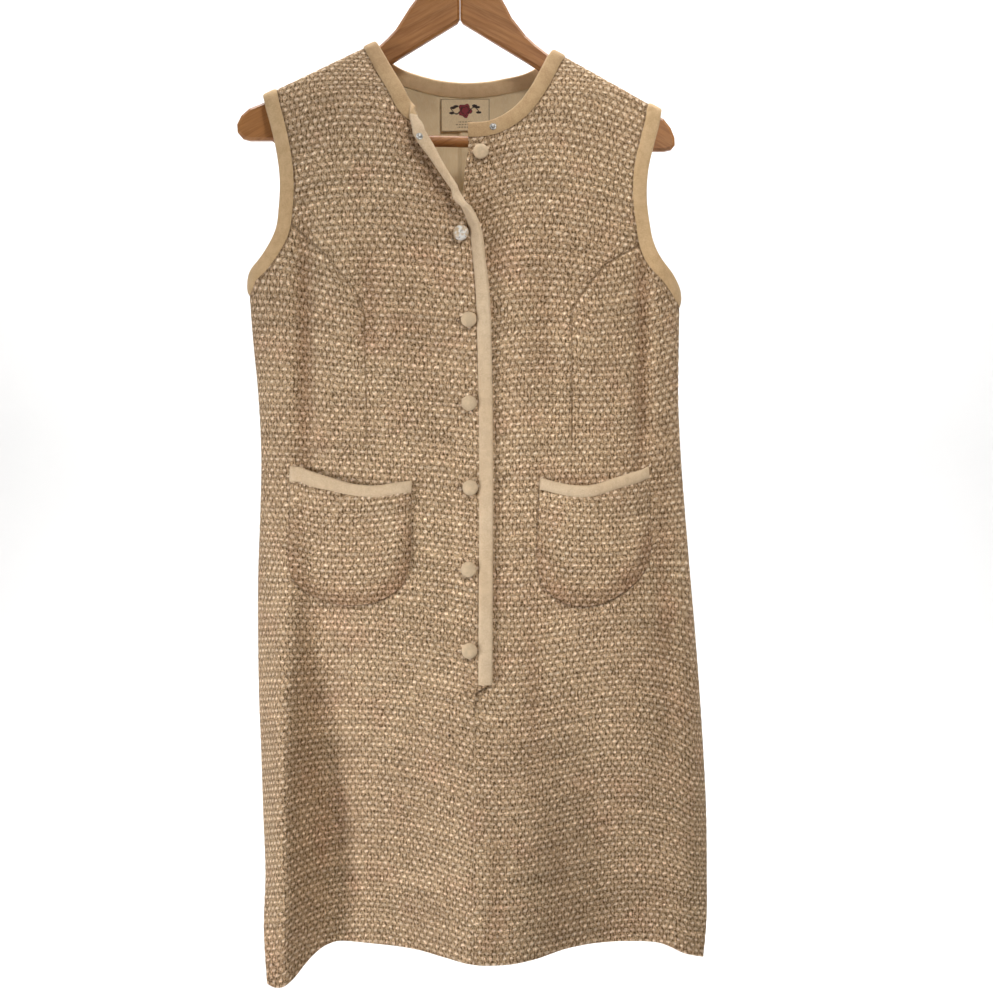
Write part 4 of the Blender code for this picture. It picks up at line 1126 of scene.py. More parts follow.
def weave_places(name, face):
    """Lattice places of a panel's threads, with a little wander of their own."""
    panel = CLOTH[name]
    x = panel["x"]
    z = panel["z"]
    if face < 0:
        p, q = front_threads(name, x, panel["points"])
    else:
        nominal = z - (curve(HEM, 4, x) - HEM_LEVEL) * ease(-880.0, HEM_LEVEL, z)
        sag = 0.10 * np.sin(x / 70.0) * 30.0 * ease(-700.0, -400.0, z) + 5.0 * np.cos(x / 60.0)
        p = panel["u"] / measure("nub_across")
        q = weave_rows(nominal + sag)
    seed = {"right": 0.4, "left": 2.1, "back": 4.4}[name]
    p = p + 0.10 * unevenness(x, z, seed)
    q = q + 0.08 * unevenness(z, x, seed + 1.0)
    return p, q


# ---- finishes -----------------------------------------------------------------
class Finish:
    """A material, with short calls that add its nodes."""

    def __init__(self, name, rough, sheen=0.0, metallic=0.0, coat=0.0):
        self.material = bpy.data.materials.new(name)
        self.material.use_nodes = True
        self.tree = self.material.node_tree
        self.shader = self.tree.nodes["Principled BSDF"]
        self.shader.inputs["Roughness"].default_value = rough
        self.shader.inputs["Sheen Weight"].default_value = sheen
        self.shader.inputs["Metallic"].default_value = metallic
        self.shader.inputs["Coat Weight"].default_value = coat
        self.object = self.node("ShaderNodeTexCoord").outputs["Object"]

    def node(self, kind, **settings):
        made = self.tree.nodes.new(kind)
        for key, value in settings.items():
            setattr(made, key, value)
        return made

    def feed(self, socket, value):
        if isinstance(value, bpy.types.NodeSocket):
            self.tree.links.new(value, socket)
        elif isinstance(value, (tuple, list)) and len(value) == 3 and len(socket.default_value) == 4:
            socket.default_value = (*value, 1)
        else:
            socket.default_value = value

    def math(self, operation, a, b=0.0, c=0.0):
        made = self.node("ShaderNodeMath", operation=operation)
        for socket, value in zip(made.inputs, (a, b, c)):
            self.feed(socket, value)
        return made.outputs[0]

    def spread(self, value, low, high, start=0.0, end=1.0, kind="SMOOTHSTEP"):
        made = self.node("ShaderNodeMapRange", interpolation_type=kind)
        for socket, number in zip(made.inputs, (value, low, high, start, end)):
            self.feed(socket, number)
        return made.outputs[0]

    def noise(self, scale, detail=2.0, rough=0.5, vector=None, stretch=None):
        vector = vector or self.object
        if stretch:
            mapping = self.node("ShaderNodeMapping")
            mapping.inputs["Scale"].default_value = stretch
            self.feed(mapping.inputs["Vector"], vector)
            vector = mapping.outputs[0]
        made = self.node("ShaderNodeTexNoise")
        self.feed(made.inputs["Vector"], vector)
        made.inputs["Scale"].default_value = scale
        made.inputs["Detail"].default_value = detail
        made.inputs["Roughness"].default_value = rough
        return made.outputs["Fac"]

    def mix(self, share, a, b, blend="MIX"):
        made = self.node("ShaderNodeMix", data_type="RGBA", blend_type=blend)
        self.feed(made.inputs[0], share)
        self.feed(made.inputs[6], a)
        self.feed(made.inputs[7], b)
        return made.outputs[2]

    def attribute(self, name):
        return self.node("ShaderNodeAttribute", attribute_name=name).outputs["Fac"]

    def join(self, x, y, z=0.0):
        made = self.node("ShaderNodeCombineXYZ")
        for socket, value in zip(made.inputs, (x, y, z)):
            self.feed(socket, value)
        return made.outputs[0]

    def bump(self, height, distance, strength=1.0):
        made = self.node("ShaderNodeBump")
        made.inputs["Strength"].default_value = strength
        made.inputs["Distance"].default_value = distance
        self.feed(made.inputs["Height"], height)
        self.feed(self.shader.inputs["Normal"], made.outputs[0])

    def colour(self, value):
        self.feed(self.shader.inputs["Base Color"], value)


def plain(name):
    """A colour property as three numbers."""
    return tuple(getattr(bpy.context.scene.dress_colours, name))


FINISHES = {}


def finish(name):
    """The material of that name, made when it is first asked for."""
    if name not in FINISHES:
        FINISHES[name] = RECIPES[name]()
    return FINISHES[name]


BURR = (-0.0084, -0.0034, -0.8340)  # where a small dark burr sits in the skirt


def tweed():
    """Loose nubs of cream yarn, row by row, between fine upright threads on a darker ground."""
    f = Finish("nubby_tweed", 1.0, sheen=0.03)
    f.shader.inputs["Specular IOR Level"].default_value = 0.15
    uv = f.node("ShaderNodeUVMap", uv_map="weave").outputs[0]
    split = f.node("ShaderNodeSeparateXYZ")
    f.feed(split.inputs[0], uv)
    wander = f.noise(330.0, 2.0)
    wander_2 = f.noise(300.0, 2.0, stretch=(1.0, 1.3, 0.9))
    p = f.math("ADD", split.outputs[0], f.math("MULTIPLY", f.math("SUBTRACT", wander, 0.5), 0.46))
    q = f.math("ADD", split.outputs[1], f.math("MULTIPLY", f.math("SUBTRACT", wander_2, 0.5), 0.30))
    row = f.math("FLOOR", q)
    p = f.math("ADD", p, f.math("MULTIPLY", f.math("FLOORED_MODULO", row, 2.0), 0.5))
    cell = f.math("FLOOR", p)
    across = f.math("SUBTRACT", f.math("SUBTRACT", p, cell), 0.5)
    up = f.math("SUBTRACT", f.math("SUBTRACT", q, row), 0.5)
    chance = f.node("ShaderNodeTexWhiteNoise", noise_dimensions="2D")
    f.feed(chance.inputs["Vector"], f.join(cell, row))
    luck = f.node("ShaderNodeSeparateColor")
    f.feed(luck.inputs[0], chance.outputs["Color"])
    wide = f.math("ADD", 0.225, f.math("MULTIPLY", luck.outputs[0], 0.12))
    tall = f.math("ADD", 0.22, f.math("MULTIPLY", luck.outputs[1], 0.09))
    a = f.math("DIVIDE", across, wide)
    slant = f.math("MULTIPLY", f.math("SUBTRACT", luck.outputs[2], 0.5), 0.5)
    b = f.math("DIVIDE", f.math("ADD", up, f.math("MULTIPLY", across, slant)), tall)
    far = f.math("SQRT", f.math("ADD", f.math("MULTIPLY", a, a), f.math("MULTIPLY", b, b)))
    fibre = f.noise(980.0, 2.0, 0.65)
    strands = f.noise(900.0, 2.0, 0.6, stretch=(1.0, 1.0, 0.36))
    fuzz = f.noise(600.0, 3.0, 0.7)
    far = f.math("ADD", far, f.math("MULTIPLY", f.math("SUBTRACT", fuzz, 0.5), 1.1))
    nub = f.spread(far, 1.40, 0.80)
    core = f.spread(far, 0.95, 0.2)
    # upright threads stand at each side of a nub, two for each place, and break up as they go
    beat = f.math("MULTIPLY", f.math("COSINE", f.math("MULTIPLY", p, 6.28319 * 2.0)), 0.10)
    upright = f.spread(f.math("ADD", strands, beat), 0.33, 0.56)
    dark = plain("tweed_dark")
    ground = f.mix(upright, dark, plain("tweed_ground"))
    ground = f.mix(f.spread(fibre, 0.52, 0.72), ground, plain("tweed_thread"))
    cream = f.mix(luck.outputs[2], plain("nub_cream"), plain("nub_tan"))
    colour = f.mix(nub, ground, f.mix(core, plain("nub_tan"), cream))
    # slubs: some picks are a little lighter or darker for a hand's breadth
    slub = f.node("ShaderNodeTexNoise", noise_dimensions="2D")
    stretched = f.math("MULTIPLY", split.outputs[0], 0.07)
    f.feed(slub.inputs["Vector"], f.join(stretched, f.math("MULTIPLY", row, 0.83)))
    slub.inputs["Scale"].default_value = 1.0
    slub.inputs["Detail"].default_value = 1.0
    speck = f.spread(fibre, 0.32, 0.68, 0.52, 1.42, kind="LINEAR")
    grit = f.spread(strands, 0.3, 0.7, 0.76, 1.22, kind="LINEAR")
    pick = f.spread(slub.outputs["Fac"], 0.3, 0.7, 0.90, 1.10, kind="LINEAR")
    tone = f.math("MULTIPLY", f.math("MULTIPLY", speck, grit), pick)
    shade = f.node("ShaderNodeCombineColor")
    for socket in shade.inputs:
        f.feed(socket, tone)
    colour = f.mix(1.0, colour, shade.outputs[0], "MULTIPLY")
    patch = f.noise(11.0, 3.0, 0.6)
    flush = f.noise(23.0, 2.0)
    tint = f.mix(f.spread(patch, 0.35, 0.68), (0.95, 0.925, 0.90), (1.03, 1.025, 1.0))
    tint = f.mix(f.math("MULTIPLY", f.spread(flush, 0.52, 0.75), 0.7), tint, (1.02, 0.93, 0.91))
    colour = f.mix(1.0, colour, tint, "MULTIPLY")
    # one small dark burr caught in the skirt
    burr = f.node("ShaderNodeVectorMath", operation="DISTANCE")
    flat = f.node("ShaderNodeVectorMath", operation="MULTIPLY")
    f.feed(flat.inputs[0], f.object)
    flat.inputs[1].default_value = (1.0, 0.05, 1.0)
    f.feed(burr.inputs[0], flat.outputs[0])
    burr.inputs[1].default_value = BURR
    caught = f.math("MULTIPLY", f.spread(burr.outputs["Value"], 0.0021, 0.0009), 0.85)
    colour = f.mix(caught, colour, (0.02, 0.012, 0.008))
    # painted shade in crease hollows, under the flap and along the pockets' lower seams, multiplied in with
    # a dusty pinkish tint
    worn = f.math("MULTIPLY", f.attribute("worn"), f.spread(patch, 0.25, 0.6, 0.55, 1.0))
    colour = f.mix(worn, colour, plain("dust_and_shade_tint"), "MULTIPLY")
    # dark lines at the seams, and a painted contact shadow along the bindings' edges
    seam_line_and_contact_shadow = f.spread(f.attribute("seam"), 1.7, 0.2)
    colour = f.mix(f.math("MULTIPLY", seam_line_and_contact_shadow, 0.6), colour, dark)
    f.colour(colour)
    relief = f.math("ADD", nub, f.math("MULTIPLY", fuzz, 0.9))
    relief = f.math("ADD", relief, f.math("MULTIPLY", upright, 0.3))
    relief = f.math("SUBTRACT", relief, f.math("MULTIPLY", seam_line_and_contact_shadow, 0.9))
    f.bump(relief, 0.0009, 0.55)
    return f.material


def felt(
    name="felt_binding",
    colours=("felt_dark", "felt", "felt_light"),
    soil_and_painted_light=(0.95, 0.92, 0.88),
    wash_and_painted_light=(1, 1, 1),
):
    """Thick felted binding: a short matt nap with a faint mottling."""
    f = Finish(name, 0.95, sheen=0.12)
    low, middle, high = [plain(colour) for colour in colours]
    nap = f.noise(950.0, 4.0, 0.7)
    mottle = f.noise(120.0, 3.0, 0.6)
    patch = f.noise(14.0, 2.0)
    base = f.mix(f.spread(mottle, 0.3, 0.72), low, middle)
    base = f.mix(f.math("MULTIPLY", f.spread(nap, 0.40, 0.68), 0.7), base, high)
    # the patch tint: light soiling on the plain felt; the copies' tints also paint their shade or light
    base = f.mix(1.0, base, f.mix(f.spread(patch, 0.3, 0.7), soil_and_painted_light, wash_and_painted_light), "MULTIPLY")
    f.colour(base)
    f.bump(f.math("ADD", nap, f.math("MULTIPLY", mottle, 0.8)), 0.0006, 0.6)
    return f.material


def lining():
    """Smooth ivory lining with the fine grain of a plain weave."""
    f = Finish("ivory_lining", 0.62, sheen=0.1)
    fine = f.noise(900.0, 2.0, 0.5, stretch=(1.0, 1.0, 0.12))
    patch = f.noise(26.0, 3.0)
    base = f.mix(f.spread(patch, 0.3, 0.7), plain("lining"), plain("lining_shade"))
    base = f.mix(f.math("MULTIPLY", f.spread(fine, 0.4, 0.8), 0.18), base, (0.97, 0.95, 0.88))
    f.colour(base)
    f.bump(fine, 0.0003, 0.35)
    return f.material


def covered():
    """Cloth stretched over a button, with a fine weave and soiled patches."""
    f = Finish("covered_button", 0.82, sheen=0.15)
    weave = f.noise(1300.0, 2.0, 0.6)
    patch = f.noise(160.0, 3.0)
    base = f.mix(f.spread(patch, 0.3, 0.75), plain("button_shade"), plain("button"))
    base = f.mix(f.math("MULTIPLY", f.spread(weave, 0.35, 0.75), 0.3), base, plain("felt_light"))
    f.colour(base)
    f.bump(weave, 0.0004, 0.5)
    return f.material


def pearly():
    """The worn button, whose cover has rubbed down to a bright shell."""
    f = Finish("worn_button", 0.28, coat=0.5)
    rub = f.noise(260.0, 3.0, 0.6)
    fleck = f.noise(520.0, 2.0, 0.5)
    base = f.mix(f.spread(rub, 0.42, 0.6), plain("button_shade"), plain("pearl"))
    base = f.mix(f.math("MULTIPLY", f.spread(fleck, 0.56, 0.72), 0.7), base, plain("tweed_dark"))
    f.colour(base)
    f.feed(f.shader.inputs["Roughness"], f.spread(rub, 0.4, 0.62, 0.7, 0.22))
    f.bump(f.math("ADD", rub, fleck), 0.0005, 0.6)
    return f.material


def wood():
    """Pale brown wood with its grain along the arm, satin finished."""
    f = Finish("hanger_wood", 0.42, coat=0.15)
    warp = f.noise(7.0, 2.0)
    split = f.node("ShaderNodeSeparateXYZ")
    f.feed(split.inputs[0], f.object)
    side = f.math("ABSOLUTE", split.outputs[0])
    # distance across the arm: the arms fall away from the middle at about half a slope
    across = f.math("ADD", split.outputs[2], f.math("MULTIPLY", side, 0.52))
    along = f.math("SUBTRACT", side, f.math("MULTIPLY", split.outputs[2], 0.52))
    grain_place = f.join(
        f.math("MULTIPLY", along, 9.0),
        f.math("MULTIPLY", split.outputs[1], 90.0),
        f.math("ADD", f.math("MULTIPLY", across, 160.0), f.math("MULTIPLY", warp, 2.4)),
    )
    grain = f.noise(1.0, 5.0, 0.62, vector=grain_place)
    fine = f.noise(3.4, 4.0, 0.7, vector=grain_place)
    pores = f.noise(9.0, 2.0, 0.6, vector=grain_place)
    base = f.mix(f.spread(grain, 0.32, 0.7), plain("wood_dark"), plain("wood"))
    base = f.mix(f.math("MULTIPLY", f.spread(fine, 0.4, 0.75), 0.55), base, plain("wood_light"))
    base = f.mix(f.math("MULTIPLY", f.spread(pores, 0.62, 0.8), 0.35), base, plain("wood_dark"))
    f.colour(base)
    f.feed(f.shader.inputs["Roughness"], f.spread(fine, 0.2, 0.9, 0.36, 0.55))
    f.bump(f.math("ADD", grain, f.math("MULTIPLY", pores, 0.4)), 0.0002, 0.35)
    return f.material


def steel():
    """Plated wire, lightly scratched."""
    f = Finish("plated_wire", 0.24, metallic=1.0)
    scratch = f.noise(240.0, 3.0, 0.6, stretch=(1.0, 1.0, 5.0))
    f.colour(f.mix(f.spread(scratch, 0.35, 0.7), (0.62, 0.62, 0.64), (0.82, 0.82, 0.84)))
    f.feed(f.shader.inputs["Roughness"], f.spread(scratch, 0.3, 0.8, 0.16, 0.4))
    return f.material


def snap_metal():
    """Dull nickel of a sewn-on snap."""
    f = Finish("snap_nickel", 0.5, metallic=0.6)
    spot = f.noise(700.0, 2.0)
    f.colour(f.mix(f.spread(spot, 0.35, 0.7), (0.20, 0.19, 0.17), (0.50, 0.49, 0.46)))
    return f.material


def thread():
    """Brown sewing thread of the buttonholes."""
    f = Finish("hole_thread", 0.85)
    strand = f.noise(1600.0, 2.0, stretch=(1.0, 1.0, 0.3))
    f.colour(f.mix(f.spread(strand, 0.3, 0.7), plain("tweed_dark"), plain("thread")))
    f.bump(strand, 0.0003, 0.6)
    return f.material


def label_cloth():
    """A woven label: cream satin with a made-up spray of leaves and flowers."""
    f = Finish("woven_label", 0.55, sheen=0.1)
    fine = f.noise(1500.0, 1.0, stretch=(1.0, 1.0, 0.2))
    base = f.mix(f.spread(fine, 0.3, 0.7), plain("label"), plain("label_shade"))
    f.colour(base)
    f.bump(fine, 0.0002, 0.4)
    return f.material


def embroidery(name, colour):
    f = Finish(name, 0.6, sheen=0.2)
    fine = f.noise(1800.0, 1.0)
    f.colour(f.mix(f.spread(fine, 0.3, 0.7), tuple(c * 0.7 for c in colour), colour))
    f.bump(fine, 0.0002, 0.5)
    return f.material


RECIPES = {
    "tweed": tweed,
    "felt": felt,
    # a darker, warmer copy of the felt: painted warm shade, used on the armholes
    "felt_shaded": lambda: felt("aged_binding", ("shaded_felt_dark", "aged", "shaded_felt_light")),
    # a yet darker copy of the warm felt: painted shade on the front neck bindings
    "felt_neck_shaded": lambda: felt(
        "neck_binding", ("shaded_felt_dark", "aged", "shaded_felt_light"), (0.76, 0.71, 0.66), (0.86, 0.83, 0.79)
    ),
    # a lighter copy of the felt: painted light on the back neck binding, which sits in the neck's shade
    "felt_back_lit": lambda: felt(
        "back_binding", ("felt", "felt_light", "felt_light"), (0.97, 0.88, 0.76), (1, 0.94, 0.82)
    ),
    "lining": lining,
    "covered": covered,
    "pearly": pearly,
    "wood": wood,
    "steel": steel,
    "snap": snap_metal,
    "thread": thread,
    "label": label_cloth,
    "rose": lambda: embroidery("label_rose", plain("rose")),
    "ink": lambda: embroidery("label_dark", plain("ink")),
    "edging": lambda: embroidery("label_edging", plain("edging")),
}


# ---- bindings -------------------------------------------------------------------
BAND_STEPS = 6


def band_ring(places, normals, beyond, wobble=0.0):
    """A binding's section: across the outside, round the edge and back up the inside."""
    steps = len(places) - 1
    ring = []
    crown = [1.0, 1.04, 1.06, 1.06, 1.04, 0.9, 0.3]
    for k in range(steps, -1, -1):
        ring.append(places[k] + normals[k] * (measure("band_high") * crown[k] + wobble))
    middle = places[0] - normals[0] * (measure("shell") / 2)
    half = (measure("shell") + measure("band_high") + 1.6) / 2
    lean = (measure("band_high") - 1.6) / 2
    for degrees in (60, 30, 0, -30, -60):
        angle = math.radians(degrees)
        out = beyond * (1.9 * math.cos(angle)) + normals[0] * (half * math.sin(angle) + lean)
        ring.append(middle + out)
    for k in (0, 2, 4, 6):
        deep = measure("shell") + (1.6 if k < 6 else 0.6)
        ring.append(places[k] - normals[k] * deep)
    for k in (6, 4, 2, 0):
        ring.append(places[k] - normals[k] * (measure("shell") + measure("band_clear")))
    ring.append(middle + beyond * 0.3 - normals[0] * (measure("shell") / 2))
    ring.append(middle + beyond * 0.3 + normals[0] * (measure("shell") / 2))
    for k in (0, 2, 4, 6):
        ring.append(places[k] + normals[k] * measure("band_clear"))
    return np.array(ring)


def unit(v):
    return v / np.maximum(np.linalg.norm(v, axis=-1, keepdims=True), 1e-9)


def laid(place, x, z):
    """Points of a panel at flat places, with their outward normals."""
    step = 0.15
    points = place(x, z)
    below = shoulder(x) - z
    slide = np.where(below < 30, shoulder(x - step) - shoulder(x), 0)
    across = points - place(x - step, z + slide)
    up = points - place(x, z - step)
    return points, unit(np.cross(across, up))


def place_left(x, z):
    return np.stack([x, surface(x, z, -1) - SEAM / 2, z + 0 * x], -1)


def place_right(x, z):
    points = rolled(x, z)
    points[..., 1] -= SEAM / 2
    return points


def strip_rings(edge, place, inward, narrow=1.0):
    """Rings of a binding laid along a flat edge line of x and z, inward to its left or right."""
    edge = np.array(edge, float)
    along = unit(np.gradient(edge, axis=0))
    across = np.stack([along[:, 1], -along[:, 0]], 1) * inward
    steps = np.linspace(0, measure("band"), BAND_STEPS + 1)
    widths = steps * np.ones((len(edge), 1)) * np.reshape(narrow, (-1, 1))
    x = edge[:, :1] + across[:, :1] * widths
    z = edge[:, 1:] + across[:, 1:] * widths
    below = shoulder(edge[:, 0]) - edge[:, 1]
    follow = ease(26.0, 6.0, below)[:, None]
    z = z * (1 - follow) + (shoulder(x) - below[:, None]) * follow
    points, normals = laid(place, x, z)
    rings = []
    for i in range(len(edge)):
        beyond = points[i, 0] - points[i, 1]
        beyond = beyond - normals[i, 0] * beyond.dot(normals[i, 0])
        wobble = 0.1 * math.sin(i * 0.83) + 0.07 * math.sin(i * 0.31 + 1.0)
        rings.append(band_ring(points[i], normals[i], unit(beyond), wobble))
    return rings


def even_line(table, step, columns=(1, 0)):
    """An edge table as a line of points evenly far apart."""
    data = np.array(table, float)[:, list(columns)]
    length = np.sum(np.linalg.norm(np.diff(data, axis=0), axis=1))
    return along_table(data, np.linspace(0, 1, max(2, int(length / step)) + 1))


def bind_right():
    placket = even_line(EDGE_RIGHT, 3.0)
    neck = even_line([row for row in NECK_RIGHT if row[0] < -147], 3.0)
    climb = [0.25 + 10.75 * (1 - t) ** 2 for t in np.linspace(0, 1, 9)]
    top = [(-86.8 + b * 0.45, float(shoulder(-86.8 + b * 0.45)) - b) for b in climb]
    edge = np.concatenate([placket, neck[1:-1], top])
    corner = len(placket) - 1
    rings = strip_rings(edge, place_right, -1, 1.0 - 0.11 * ease(-330.0, -380.0, edge[:, 1]))
    band = ring_tube("placket_binding_cloth", rings, [finish("felt"), finish("felt_neck_shaded")])
    side = len(rings[0])
    # the neck part of the band takes the felt copy with painted shade
    for polygon in band.data.polygons:
        if min(polygon.vertices) >= (corner + 6) * side:
            polygon.material_index = 1
    return band


def bind_left():
    line = even_line([row for row in NECK_LEFT if row[1] < -155], 2.6, (0, 1))
    climb = [0.25 + 10.75 * (1 - t) ** 2 for t in np.linspace(0, 1, 9)]
    top = [(96.0 - b * 0.45, float(shoulder(96.0 - b * 0.45)) - b) for b in climb]
    edge = np.concatenate([line[:-1], top])
    rings = strip_rings(edge, place_left, 1)
    # the left neck binding takes the felt copy with painted shade
    return ring_tube("neck_binding_left_cloth", rings, [finish("felt_neck_shaded")])


class Laid:
    """Panels as a surface to lay other pieces on, in millimetres."""

    def __init__(self, names, skip=2):
        self.points = []
        self.normals = []
        self.triangles = []
        for name in names:
            points = CLOTH[name]["points"][::skip, ::skip]
            normals = CLOTH[name]["normals"][::skip, ::skip]
            rows, columns = points.shape[:2]
            first = len(self.points)
            self.points += [Vector(p) for p in points.reshape(-1, 3)]
            self.normals += [Vector(n) for n in normals.reshape(-1, 3)]
            for i in range(rows - 1):
                for j in range(columns - 1):
                    a = first + i * columns + j
                    self.triangles.append((a, a + 1, a + columns + 1))
                    self.triangles.append((a, a + columns + 1, a + columns))
        self.tree = BVHTree.FromPolygons(self.points, self.triangles)

    def smooth_normal(self, place, index):
        a, b, c = self.triangles[index]
        pa, pb, pc = self.points[a], self.points[b], self.points[c]
        whole = (pb - pa).cross(pc - pa)
        size = max(whole.length_squared, 1e-12)
        wa = (pc - pb).cross(place - pb).dot(whole) / size
        wb = (pa - pc).cross(place - pc).dot(whole) / size
        total = self.normals[a] * wa + self.normals[b] * wb + self.normals[c] * (1 - wa - wb)
        return total.normalized()

    def nearest(self, point):
        place, _, index, _ = self.tree.find_nearest(Vector(point))
        return np.array(place), np.array(self.smooth_normal(place, index))

    def facing(self, x, z, side):
        start = Vector((x, 400.0 * side, z))
        place, _, index, _ = self.tree.ray_cast(start, Vector((0, -side, 0)))
        return np.array(place), np.array(self.smooth_normal(place, index))


def march_rings(cloth, edges, normals, into, closed):
    """Rings of a binding that steps into the cloth from a run of edge points."""
    count = len(edges)
    rings = []
    for k in range(count):
        if closed:
            along = edges[(k + 1) % count] - edges[k - 1]
        else:
            along = edges[min(k + 1, count - 1)] - edges[max(k - 1, 0)]
        along = unit(along)
        inward = into[k] - edges[k]
        inward = unit(inward - along * along.dot(inward))
        n = np.cross(inward, along)
        if n.dot(normals[k]) < 0:
            n = -n
        places = [edges[k]]
        smooth_normals = [n]
        direction = inward
        for _ in range(BAND_STEPS):
            place, found = cloth.nearest(places[-1] + direction * measure("band") / BAND_STEPS)
            gone = place - places[-1]
            if gone.dot(direction) > 0.5:
                direction = unit(unit(gone) + direction)
            place = places[-1] + unit(gone + direction * 0.3) * measure("band") / BAND_STEPS
            places.append(cloth.nearest(place)[0])
            smooth_normals.append(unit(found + smooth_normals[-1] * 0.5))
        wobble = 0.1 * math.sin(k * 0.83) + 0.07 * math.sin(k * 0.31 + 1.0)
        rings.append(band_ring(places, smooth_normals, -inward, wobble))
    return rings


def resample(points, values, step):
    """Points and what goes with them, evenly far apart along their run."""
    run = np.concatenate([[0], np.cumsum(np.linalg.norm(np.diff(points, axis=0), axis=1))])
    even = np.linspace(0, run[-1], max(2, int(run[-1] / step)) + 1)
    out = []
    for one in (points, *values):
        out.append(np.stack([np.interp(even, run, one[:, k]) for k in range(3)], 1))
    return out


def bind_armhole(front_name, column, back_column, armpit):
    front = CLOTH[front_name]
    back = CLOTH["back"]
    start = int(np.argmin(np.abs(front["z"][:, column] - armpit)))
    back_start = int(np.argmin(np.abs(back["z"][:, back_column] - armpit)))
    inner = 10 if column == 0 else -11
    back_inner = 10 if back_column == 0 else -11
    up = slice(start, None)
    down = slice(len(back["points"]) - 2, back_start, -1)
    edges = np.concatenate([front["points"][up, column], back["points"][down, back_column]])
    normals = np.concatenate([front["normals"][up, column], back["normals"][down, back_column]])
    into = np.concatenate([front["points"][up, inner], back["points"][down, back_inner]])
    edges[0] = edges[0] * np.array([1, 0, 1])
    into[0] = edges[0] + np.array([0.0, 0.0, -10.0])
    edges, normals, into = resample(edges, (normals, into), 2.6)
    walls = Laid([front_name, "back"])
    rings = march_rings(walls, list(edges[:-1]), list(unit(normals[:-1])), list(into[:-1]), True)
    # the armhole bindings take the felt copy with painted warm shade
    return ring_tube("armhole_binding_%s_cloth" % front_name, rings, [finish("felt_shaded")], True)


def bind_back():
    back = CLOTH["back"]
    x = back["x"][-1]
    inside = np.nonzero((x > -86.6) & (x < 96.0))[0]
    edges = back["points"][-1, inside]
    normals = back["normals"][-1, inside].copy()
    into = back["points"][-9, inside]
    edges, normals, into = resample(edges, (normals, into), 2.6)
    rings = march_rings(Laid(["back"]), list(edges), list(unit(normals)), list(into), False)
    # the back neck binding takes the felt copy with painted light
    return ring_tube("neck_binding_back_cloth", rings, [finish("felt_back_lit")])


# ---- panels -----------------------------------------------------------------------
# painted shade along the crease hollows, with a dusty pinkish tint: as the ripples, but how dark
DUST_AND_SHADE_FRONT = [
    (-154, -350, -154, -560, 7, 1.0),
    (183, -370, 183, -565, 7, 1.0),
    (-88, -366, -88, -440, 9, 0.8),
    (80, -370, 84, -470, 10, 0.5),
    (38, -930, 36, -1040, 9, 0.4),
    (96, -940, 100, -1050, 11, 0.3),
    (203, -600, 206, -800, 9, 0.5),
    # painted shadow of the rolled-out flap on the cloth below it
    (-56, -238, -8, -318, 13, 0.9),
    (72, -730, 74, -860, 9, 0.6),
]
# the same painted shade in the back's crease hollows
DUST_AND_SHADE_BACK = [
    (10, -420, 14, -620, 12, 0.4),
    (-142, -500, -152, -760, 10, 0.8),
    (172, -520, 178, -780, 10, 0.8),
]
# the seam down the middle below the placket, and the row of stitches that ends the placket
MIDDLE_SEAM = [(15.4, -798.0), (14.4, -900.0), (13.0, -1052.0)]
TACK = [(5.5, -792.4), (16.0, -792.8)]


def edge_fade(distance):
    """The weave's relief dies out where a binding lies on the cloth."""
    return measure("nub_relief") * ease(measure("band") + 0.5, measure("band") + 4.0, distance)


def cut_panel(name, face, bound, seams, key, level_seams=()):
    panel = CLOTH[key]
    x = panel["x"]
    z = panel["z"]
    p, q = weave_places(key, face)
    far = np.full(x.shape, 99.0)
    for line in bound:
        narrower = 1.5 * ease(-330.0, -380.0, z) if line == pairs(EDGE_RIGHT) else 0.0
        far = np.minimum(far, distance_to(line, x, z) + narrower)
    seam = np.full(x.shape, 9.0)
    for line in seams:
        seam = np.minimum(seam, distance_to(line, x, z))
    relief = edge_fade(far) * ease(0.0, 2.5, seam)
    sink = 0.9 * np.exp(-((seam / 2.2) ** 2)) + 0.5 * np.exp(-((seam / 7.0) ** 2))
    sink = sink * ease(measure("band") - 4.0, measure("band") + 3.0, far)
    flush = np.full(x.shape, 9.0)
    for line in level_seams:
        flush = np.minimum(flush, distance_to(line, x, z))
    sink = sink + 0.35 * np.exp(-((flush / 1.8) ** 2))
    relief = relief * ease(0.0, 2.0, flush)
    seam = np.minimum(seam, flush + 0.5)
    # a painted contact shadow: a dark line on the cloth just beyond each binding's edge
    seam = np.minimum(seam, np.abs(far - measure("band") - 0.6) + 0.3)
    points = panel["points"] - panel["normals"] * sink[..., None]
    # painted shade in the crease hollows, and the flap's painted shadow, with a dusty tint
    worn = np.clip(folds(DUST_AND_SHADE_FRONT if face < 0 else DUST_AND_SHADE_BACK, x, z), 0, 1)
    both = [finish("tweed"), finish("lining")]
    return shell(name, points, panel["normals"], p, q, relief, seam, worn, both)


def pairs(table, columns=(1, 0)):
    return [(row[columns[0]], row[columns[1]]) for row in table]


def cut_right():
    bound = [pairs(EDGE_RIGHT), pairs(NECK_RIGHT), pairs(ARM_RIGHT)]
    return cut_panel("front_right_cloth", -1, bound, [DART_RIGHT], "right", [MIDDLE_SEAM, TACK])


def cut_left():
    bound = [pairs(NECK_LEFT, (0, 1)), pairs(ARM_LEFT)]
    return cut_panel("front_left_cloth", -1, bound, [DART_LEFT], "left", [MIDDLE_SEAM])


def cut_back():
    bound = [pairs(NECK_BACK, (0, 1)), pairs(ARM_RIGHT, (2, 0)), pairs(ARM_LEFT, (2, 0))]
    return cut_panel("back_cloth", 1, bound, BACK_DARTS, "back")


